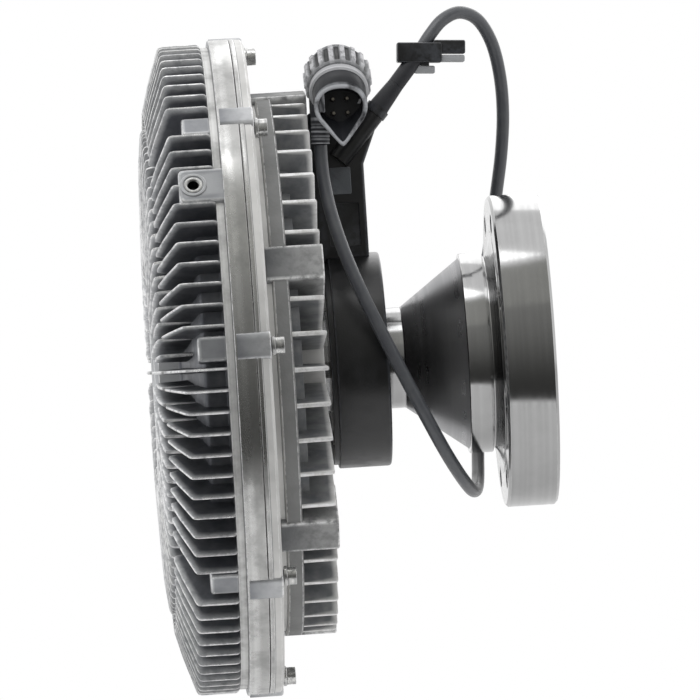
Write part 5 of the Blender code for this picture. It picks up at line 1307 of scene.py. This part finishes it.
@dataclass
class RearHousing:
    """Ribbed rear housing with the fan's bosses, and the screws that hold the cover."""

    flange_radius: float = 139.4
    fan_bosses: int = 6
    boss_angle: float = math.radians(-21.5)
    boss_half: Pair = (12.6, 7.8)
    boss_heights: Pair = (-120.4, -96.4)
    boss_radius: float = 103.2
    bore: Pair = (3.4, 15.0)
    ribs: int = 48
    rib_angle: float = math.radians(1.2)
    rib_thick: Pair = (2.9, 1.9)
    rib_radii: Pair = (60.0, 114.1)
    pocket_x: float = -111.5
    wall_x: float = -107.5
    face_x: float = -97.1
    lug_width: float = 12.4
    lug_height: float = 16.0
    lug_ends: Pair = (-135.4, -121.3)
    lug_bore: Pair = (3.0, 3.0)
    screw_radius: float = 132.0
    screw_face: float = -121.2

    def shell(self) -> Object:
        """Turned body: flange, neck, wall, the boss round the bearing, and the seats inside."""
        surface = Surface("rear_shell")
        path = [
            (-127.35, 121.0), (-127.35, 139.1), (-127.0, self.flange_radius), (-125.7, self.flange_radius),
            (-125.3, 139.0), (-122.6, 139.0), (-121.5, 137.8), (-121.5, 112.8), (-118.3, 112.8), (-117.8, 115.0),
            (-112.1, 115.0), (self.pocket_x, 114.3), (self.pocket_x, 105.0), (self.wall_x, 104.0),
            (self.wall_x - 0.6, 102.0), (self.wall_x - 0.6, 64.0), (self.wall_x, 62.0), (-97.0, 62.0), (-97.0, 56.3),
            (-112.8, 56.3), (-112.8, 49.7), (-97.0, 49.7), (-97.0, 36.3), (-118.6, 36.3), (-118.6, 33.0),
            (-122.1, 33.0), (-122.1, 45.0), (-119.0, 45.0), (-119.0, 100.0), (-124.5, 102.0), (-124.5, 121.0),
        ]
        turned(surface, CLUTCH, path, 0.5)
        piece = surface.build(CAST_HOUSING, CAST_ROUGH, TURNED_BAND)
        paint_zone(piece, 1, (-117.8, self.pocket_x + 0.1), (114.0, 115.2))
        paint_zone(piece, 2, (-127.2, -125.7), (138.0, 140.0))
        # Painted shade in the pocket between the wall and the ribs.
        shade_pockets(piece, (self.pocket_x - 0.1, self.wall_x + 0.1), (63.0, 113.5))
        return piece

    def rib_set(self) -> Object:
        """Radial cooling ribs, left out where a fan boss stands."""
        surface = Surface("rear_ribs")
        inner, outer = self.rib_radii
        deep = self.pocket_x - 2.5
        tip = [(deep, outer), (self.face_x, outer), (self.face_x, inner), (self.wall_x - 1.5, inner)]
        angles = self.rib_angle + turn_angles(self.ribs)
        clear = away_from(angles, self.boss_angles(), self.boss_half[1] / outer)
        root = ((deep, outer - 0.5), (self.wall_x - 1.5, inner + 0.5))
        blades(surface, tip, root, angles[clear], self.rib_thick, 1.2)
        return surface.build(CAST_HOUSING)

    def boss_angles(self) -> Array:
        """Where the fan's bosses stand."""
        return self.boss_angle + turn_angles(self.fan_bosses)

    def boss_set(self) -> Object:
        """Fan bosses: square blocks with a threaded hole in the milled face."""
        surface = Surface("fan_bosses")
        for angle in self.boss_angles():
            axes = Axes.face(0.0, self.boss_radius, angle)
            bored_block(surface, axes, self.boss_half, self.boss_heights, self.bore, 0.8)
        return surface.build(CAST_ROUGH)

    def lug_set(self, angles: Array) -> Object:
        """Screw lugs on the rim of the two flanges."""
        surface = Surface("flange_lugs")
        for angle in angles:
            axes = Axes.face(0.0, self.screw_radius + 0.2, angle)
            half = (self.lug_height / 2, self.lug_width / 2)
            bored_block(surface, axes, half, self.lug_ends, self.lug_bore, 0.9, 5.0)
        return surface.build(CAST_COVER)

    def screws(self, angles: Array) -> Object:
        """Cap screws: a washer face, a round head and a deep round socket."""
        surface = Surface("cover_screws")
        path = [
            (-23.8, 0.0), (-23.8, 2.5), (0.0, 2.5), (0.0, 4.3), (1.1, 4.3), (1.5, 3.7), (5.2, 3.7), (5.2, 2.1),
            (2.6, 2.1), (2.6, 0.0),
        ]
        for angle in angles:
            axes = Axes.face(self.screw_face + 0.4, self.screw_radius, angle)
            turned(surface, axes, path, 0.35, ROUND_TUBE)
        return surface.build(SCREW_STEEL)

    def build(self, screw_angles: Array) -> None:
        """Builds the housing's pieces and hangs them on the housing."""
        dress(self.shell(), "housing", "cast_housing", "rear_housing")
        for piece in (self.rib_set(), self.boss_set(), self.lug_set(screw_angles)):
            dress(piece, "housing", "cast_housing")
        names = [f"cover_screw_{number}" for number in range(1, len(screw_angles) + 1)]
        dress(self.screws(screw_angles), "housing", "fastener", *names)


def in_zone(places: Array, stations: Pair, radii: Pair) -> Array:
    """Which places, flat and in metres, lie between two stations and two distances from the axis."""
    places = places.reshape(-1, 3) / MM
    radius = np.linalg.norm(places[:, 1:], axis=1)
    inside = (places[:, 0] > stations[0]) & (places[:, 0] < stations[1])
    return inside & (radius > radii[0]) & (radius < radii[1])


def paint_zone(piece: Object, slot: int, stations: Pair, radii: Pair) -> None:
    """Gives the faces between two stations and two radii another of the piece's materials.

    Args:
        piece: The piece.
        slot: The material's slot.
        stations: Lowest and highest place along the axis.
        radii: Lowest and highest distance from the axis.
    """
    faces = piece.data.polygons
    centres, slots = np.zeros(3 * len(faces)), np.zeros(len(faces), dtype=np.int32)
    faces.foreach_get("center", centres)
    faces.foreach_get("material_index", slots)
    faces.foreach_set("material_index", np.where(in_zone(centres, stations, radii), slot, slots).astype(np.int32))


def shade_pockets(piece: Object, stations: Pair, radii: Pair) -> None:
    """Marks the points between two stations and two radii as deep in a pocket, so that they take painted shade, with
    no rubbed edges or painted highlight.

    Args:
        piece: The piece.
        stations: Lowest and highest place along the axis.
        radii: Lowest and highest distance from the axis.
    """
    mesh = piece.data
    points, marks = np.zeros(3 * len(mesh.vertices)), np.zeros(len(mesh.vertices), dtype=np.float32)
    mesh.vertices.foreach_get("co", points)
    inside = in_zone(points, stations, radii)
    for name, level in ((DEPTH, 1.0), (EDGE, 0.0)):
        layer = mesh.attributes[name].data
        layer.foreach_get("value", marks)
        layer.foreach_set("value", np.where(inside, level, marks).astype(np.float32))


# Shaft


@dataclass
class FlangedShaft:
    """Steel shaft: engine flange, turned land, painted cone, neck and the seats inside."""

    flange_radius: float = 66.3
    flange_back: float = -21.7
    land_back: float = -25.6
    land_front: float = -35.6
    flare_radius: float = 51.0
    flare_size: Pair = (3.9, 10.5)
    cone_front: float = -61.2
    shoulder: float = -76.7
    pilot_radius: float = 38.0
    pilot_depth: float = 8.0
    holes: int = 8
    hole_radius: float = 4.25
    hole_circle: float = 58.0

    def path(self) -> tuple[list[Pair], list[float]]:
        """The shaft's section from the bore at its end to the pilot's floor, with the corner radii."""
        turn = np.linspace(0.0, math.pi / 2, 9)[1:-1]
        wide, deep = self.flare_radius, self.flare_size
        flare = [(self.land_back + deep[0] * math.sin(k), wide - deep[1] * math.cos(k)) for k in turn]
        rows = [
            (-108.6, 0.0, 0.0), (-111.3, 5.3, 0.3), (-137.3, 5.3, 0.3), (-137.3, 14.0, 0.3), (-136.3, 15.0, 0.3),
            (-118.3, 15.0, 0.2), (-118.3, 17.5, 0.3), (self.shoulder, 17.5, 0.4), (self.shoulder, 21.4, 0.5),
            (-70.2, 21.4, 0.2), (-69.8, 21.0, 0.2), (-68.9, 21.0, 0.2), (-68.5, 21.4, 0.2),
            (self.cone_front - 0.2, 21.4, 1.2), (self.land_front, 40.5, 0.6), (self.land_front, 42.5, 0.5),
            (self.land_back, 42.5, 0.4), (self.land_back, 40.6, 0.3), *[(x, r, 0.2) for x, r in flare],
            (self.flange_back - 0.25, wide, 0.1), (self.flange_back - 0.25, 51.6, 0.1), (self.flange_back, 51.6, 0.1),
            (self.flange_back, self.flange_radius - 1.1, 0.3), (self.flange_back + 1.1, self.flange_radius, 0.3),
            (-1.1, self.flange_radius, 0.3), (0.0, self.flange_radius - 1.1, 0.3),
            (0.0, self.pilot_radius + 0.8, 0.2), (-0.8, self.pilot_radius, 0.2),
            (-self.pilot_depth, self.pilot_radius, 0.8), (-self.pilot_depth, 3.2, 0.1),
            (-self.pilot_depth - 5.0, 0.0, 0.0),
        ]
        return [row[:2] for row in rows], [row[2] for row in rows]

    def body(self) -> Object:
        """The shaft with its bolt holes and the finish of each zone."""
        surface = Surface("shaft_body")
        turned(surface, CLUTCH, *self.path())
        piece = surface.build(FLANGE_STEEL)
        cutter = Surface("hole_cutter")
        ends = [
            (self.flange_back - 3.0, 0.0), (self.flange_back - 3.0, self.hole_radius + 3.6),
            (self.flange_back + 0.6, self.hole_radius), (-0.6, self.hole_radius), (3.0, self.hole_radius + 3.6),
            (3.0, 0.0),
        ]
        for angle in turn_angles(self.holes) + math.pi / self.holes:
            turned(cutter, Axes.face(0.0, self.hole_circle, angle), ends, 0.0, ROUND_HOLE)
        carve(piece, cutter.build(FLANGE_STEEL))
        piece.data.materials.clear()
        for finish in (FLANGE_STEEL, CONE_STEEL):
            piece.data.materials.append(finish.material())
        paint_zone(piece, 1, (self.cone_front + 0.4, self.land_front - 0.1), (0.0, self.flange_radius))
        return piece

    def build(self) -> None:
        """Builds the shaft and hangs it on the hub."""
        dress(self.body(), "hub", "shaft", "flanged_shaft")


# Magnet housing


@dataclass
class MagnetHousing:
    """Black moulding: ring round the coil, arm, connector holder and cable outlet."""

    radius: float = 45.5
    front_x: float = -93.5
    back_x: float = -69.1
    coil_radius: float = 42.3
    eye_radius: float = 25.0
    core_radius: float = 35.6
    half_depth: float = 13.0
    arm: tuple[Pair, ...] = (
        (-95.8, 46.0), (-92.6, 42.6), (-73.4, 42.6), (-73.4, 83.0), (-66.0, 101.0), (-76.5, 106.0), (-95.8, 106.0),
    )
    holder: tuple[Pair, ...] = box(-94.6, 99.0, -76.5, 128.0)
    holder_ends: Pair = (3.7, 12.7)
    panel: tuple[Pair, ...] = box(-89.6, 48.5, -76.4, 67.0)
    pad: tuple[Pair, ...] = box(-88.4, 70.6, -79.2, 82.0)
    outlet_root: Triple = (-84.0, -14.2, 85.0)

    def ring(self) -> Object:
        """Turned ring: stepped front, plain drum, and a back face with two shallow grooves."""
        surface = Surface("magnet_ring")
        path = [
            (self.front_x, self.coil_radius), (self.front_x, self.radius - 1.6),
            (self.front_x + 2.2, self.radius - 1.6), (self.front_x + 2.2, self.radius), (self.back_x, self.radius),
            (self.back_x, 41.6), (self.back_x - 0.7, 41.0), (self.back_x - 0.7, 36.6), (self.back_x, 36.0),
            (self.back_x, 30.2), (self.back_x - 0.6, 29.6), (self.back_x - 0.6, self.eye_radius),
            (self.back_x - 4.0, self.eye_radius), (self.back_x - 4.0, self.core_radius),
            (self.back_x - 4.0, self.coil_radius),
        ]
        radii = (0.3, 0.5, 0.3, 0.8, 1.4, 0.3, 0.2, 0.2, 0.3, 0.3, 0.2, 0.4, 0.3, 0.0, 0.3)
        turned(surface, CLUTCH, path, radii)
        return surface.build(BLACK_MOULDING)

    def arm_block(self) -> Object:
        """Arm with rounded edges and a sunk panel on its near side."""
        surface = Surface("magnet_arm")
        half = self.half_depth
        prism(surface, ARM_PLANE, self.arm, -half, half, 2.0, 1.4)
        piece = surface.build(BLACK_MOULDING)
        cutter = Surface("panel_cutter")
        prism(cutter, ARM_PLANE, self.panel, half - 2.5, half + 4.0, 1.2, 0.4)
        carve(piece, cutter.build(BLACK_MOULDING))
        return piece

    def fittings(self) -> Object:
        """Connector holder, and the cable's outlet tube with its thicker end."""
        surface = Surface("magnet_fittings")
        prism(surface, ARM_PLANE, self.holder, *self.holder_ends, 1.5, 1.0)
        root = np.array(self.outlet_root)
        # The thicker end carries painted highlight with wear.
        for first, points, radius, edge in ((0.0, 9, 4.6, 0.0), (0.88, 4, 5.1, 0.6)):
            share = np.linspace(first, 1.0, points)[:, None]
            tube(surface, root + share * (ARM_OUTLET - root), radius, 28, edge=edge)
        return surface.build(BLACK_MOULDING)

    def plate(self) -> Object:
        """Flat grey pad on the arm's near side."""
        surface = Surface("arm_pad")
        prism(surface, ARM_PLANE, self.pad, self.half_depth - 1.0, self.half_depth + 0.5, 0.8, 0.3)
        return surface.build(PAD_MOULDING)

    def build(self) -> None:
        """Builds the moulding and hangs it on the magnet."""
        dress(self.ring(), "magnet", "moulding", "magnet_housing")
        for piece in (self.arm_block(), self.fittings(), self.plate()):
            dress(piece, "magnet", "moulding")


# Connector


@dataclass
class Connector:
    """Cable connector: a round barrel that opens into a drop-shaped hood, on a foot of the arm's holder."""

    centre: Triple = (-83.0, -32.0, 118.5)
    tilt: float = math.radians(34.0)
    radius: float = 11.3
    barrel: float = 11.0
    hood_centre: Triple = (-83.0, -50.0, 107.2)
    tip: float = 18.0
    tip_share: float = 0.97
    tip_power: float = 24.0
    mouth_top: float = 0.8
    wall: float = 1.9
    socket_depth: float = 13.0
    collar_radius: float = 12.5
    collar_ends: Pair = (6.8, 9.3)
    outlet: Triple = (-91.9, -33.5, 92.0)
    outlet_radius: float = 4.0
    outlet_rise: Triple = (1.0, 0.0, 20.0)
    foot_radius: float = 4.5
    key: tuple[Pair, ...] = box(-9.2, -2.4, -6.6, 5.6)
    holder_y: float = -12.7
    columns: int = 96

    def axes(self) -> Axes:
        """The barrel's own directions: u to the side, v up and w out of the mouth."""
        ahead = np.array([0.0, -math.cos(self.tilt), -math.sin(self.tilt)])
        return Axes(np.array(self.centre), X, np.cross(ahead, X), ahead)

    def outline(self, share: Array | float, shrink: Array | float) -> Array:
        """Distance of the outline from its centre at each of the columns.

        Formula: the circle r, and below it the two tangents through the tip: r / cos(t - a) for a < t, with
        a the angle from straight down and cos t = r / tip. A soft limit at 0.97 tip, (d^-n + limit^-n)^(-1/n),
        rounds the tip.

        Args:
            share: 0 for the round barrel, 1 for the full drop.
            shrink: Distance inside the outer wall.

        Returns:
            The distances, with the columns last.
        """
        angle = turn_angles(self.columns)
        down = np.abs((angle - 1.5 * math.pi + math.pi) % (2 * math.pi) - math.pi)
        reach = math.acos(self.radius / self.tip)
        drop = np.where(down < reach, self.radius / np.cos(reach - np.minimum(down, reach)), self.radius)
        power = self.tip_power
        drop = (drop**-power + (self.tip_share * self.tip) ** -power) ** (-1 / power)
        flat = np.where(np.sin(angle) > 0, 1 - (1 - self.mouth_top) * np.sin(angle) ** 2, 1.0)
        return self.radius + (drop * flat - self.radius) * np.asarray(share) - np.asarray(shrink)

    def body(self) -> Object:
        """Barrel, hood, lip and socket as one loft, with the collar, the outlet and the foot."""
        surface = Surface("connector_shell")
        axes = self.axes()
        mouth = np.array(self.hood_centre)
        span = mouth - axes.origin
        rows = [(axes.origin - self.barrel * axes.w, 0.0, self.radius, 0.0, 0.0)]
        # Marks: painted highlight with wear on the back rim and on the lip, and painted shade deepening into the
        # socket.
        back = ((0.0, 0.9), (0.3, 0.3), (0.9, 0.0))
        rows += [(axes.origin - (self.barrel - k) * axes.w, 0.0, s, 0.4, 0.0) for k, s in back]
        rows += [(axes.origin + k * span, k**3, 0.0, 0.0, 0.0) for k in np.linspace(0.0, 0.93, 9)]
        for k in np.linspace(0.0, math.pi, 7):
            rows.append((mouth + Y * 0.9 * (1 - math.sin(k)), 1.0, self.wall / 2 * (1 - math.cos(k)), 1.0, 0.0))
        rows += [(mouth + Y * k, 1.0, self.wall, 0.0, min(1.0, 0.35 + k / 6)) for k in (1.4, 3.0, 6.0, 9.0)]
        floor = mouth + Y * self.socket_depth
        rows += [(floor - 0.6 * Y, 1.0, self.wall, 0.0, 1.0), (floor, 1.0, self.wall + 0.6, 0.0, 1.0)]
        centre = np.stack([row[0] for row in rows])[:, None, :]
        share, shrink, edge, depth = np.array([row[1:] for row in rows]).T[..., None]
        size = self.outline(share, shrink)[..., None]
        up = unit((1 - share) * axes.v + share * Z)[:, None, :]
        angle = turn_angles(self.columns)[:, None]
        points = centre + size * np.cos(angle) * axes.u + size * np.sin(angle) * up
        last = np.broadcast_to(floor, points[:1].shape)
        edge, depth = np.concatenate([edge, [[0.0]]]), np.concatenate([depth, [[1.0]]])
        surface.grid(np.concatenate([points, last]), edge=edge, depth=depth)
        self.fittings(surface, axes)
        return surface.build(CONNECTOR_MOULDING, COLLAR_MOULDING)

    def fittings(self, surface: Surface, axes: Axes) -> None:
        """Adds the collar before the ring, the cable outlet with its ribs, the foot and the key in the socket."""
        low, high = self.collar_ends
        collar = [(low, 9.5), (low, self.collar_radius), (high, self.collar_radius)]
        collar += [(high + 0.8, 10.9), (high + 0.8, 9.5)]
        turned(surface, axes, collar, 0.45, self.columns, slot=1)
        share = np.linspace(0.0, 1.0, 33)
        line = np.array(self.outlet) + share[:, None] * np.array(self.outlet_rise)
        ribs = 0.3 * (0.5 - 0.5 * np.cos(2 * math.pi * 6 * np.minimum(share / 0.5, 1.0)))
        # The rib crests carry painted highlight with wear.
        tube(surface, line, self.outlet_radius - ribs, ROUND_TUBE, edge=np.clip(1 - ribs / 0.1, 0, 1) * (share < 0.55))
        start = axes.origin - 0.7 * self.barrel * axes.w
        finish = np.array([start[0], self.holder_y, start[2]])
        tube(surface, np.linspace(start, finish, 6), self.foot_radius, ROUND_TUBE)
        flat = Axes(np.array(self.hood_centre), X, Z, Y)
        prism(surface, flat, self.key, 2.2, self.socket_depth - 0.2, 0.6, 0.35)

    def build(self) -> Object:
        """Builds the connector and hangs it on the magnet."""
        return dress(self.body(), "magnet", "connector_plastic", "connector_body")


@dataclass
class CouplingRing:
    """Knurled ring that turns on the connector's barrel."""

    radius: float = 14.3
    bore: float = 11.75
    ends: Pair = (-6.6, 6.4)
    ribs: int = 18
    rib_height: float = 1.7
    columns: int = 288

    def build(self, axes: Axes) -> Object:
        """Builds the ring.

        Formula: r = R - h (1 - wave) / 2, with wave = 2.4 cos(18 a) + 0.2 held between -1 and 1; the ribs
        fade out towards both ends.

        Args:
            axes: The barrel's directions.

        Returns:
            The ring on its own body.
        """
        surface = Surface("knurled_ring")
        low, high = self.ends
        path = [(low, self.bore, 0.0), (low, self.radius - 2.2, 0.0), (low + 0.7, self.radius - 1.2, 0.0)]
        path += [(low + 1.3, self.radius, 1.0), (high - 2.6, self.radius, 1.0), (high - 1.9, self.radius - 0.6, 0.4)]
        path += [(high - 0.5, self.radius - 0.9, 0.0), (high, self.radius - 1.4, 0.0), (high, self.bore, 0.0)]
        place, size, share = np.array(path).T[..., None]
        angle = turn_angles(self.columns)[None, :]
        wave = np.clip(2.4 * np.cos(self.ribs * angle) + 0.2, -1, 1)
        radius = size - self.rib_height * (1 - wave) / 2 * share
        points = axes.at(radius * np.cos(angle), radius * np.sin(angle), place)
        # Painted highlight with wear on the rib crests, and painted shade in the notches between them.
        edge, depth = np.clip(wave, 0, 1) * (0.25 + 0.75 * share), np.clip(-wave, 0, 1) * share
        surface.grid(points, ring=True, edge=edge, depth=depth)
        return dress(surface.build(RING_MOULDING), "coupling", "ring_plastic", "connector_ring")


# Parts that stay as the solids have them


PINS = tuple(f"contact_pin_{number}" for number in range(1, 5))
INNER_PARTS = (
    (TURNED_GROOVE, ("rotor_disc", "reservoir_plate")),
    (SCREW_STEEL, ("rotor_bolt", "valve_rivet", "valve_lever", "main_circlip", "magnet_circlip")),
    (BEARING_STEEL, ("main_bearing_inner", "main_bearing_outer", "magnet_bearing_inner", "magnet_bearing_outer")),
    (BEARING_STEEL, ("bearing_spacer",)),
    (BRASS, ("main_bearing_cage", "magnet_bearing_cage")),
    (POLE_STEEL, ("pole_ring", "magnet_core")),
    (WINDING, ("coil",)),
    (SEAL_RUBBER, ("cover_seal",)),
    (CONTACT, PINS),
)


def repaint_inner_parts() -> None:
    """Gives the bearings, the rotor, the valve, the coil and the other solids inside a finish each."""
    for finish, names in INNER_PARTS:
        for slot in (slot for name in names for slot in bpy.data.objects[name].material_slots):
            slot.material = finish.material()


def main() -> None:
    """Builds the dressed clutch piece by piece."""
    logging.basicConfig(level=logging.INFO, format="%(name)s: %(message)s")
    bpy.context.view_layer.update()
    Studio().build()
    connector = Connector()
    shell = connector.build()
    ring = CouplingRing().build(connector.axes())
    CableRun().build([shell, ring, *PINS])
    cover = FrontCover()
    cover.build()
    RearHousing().build(cover.screw_angles())
    FlangedShaft().build()
    MagnetHousing().build()
    repaint_inner_parts()


if __name__ == "__main__":
    main()
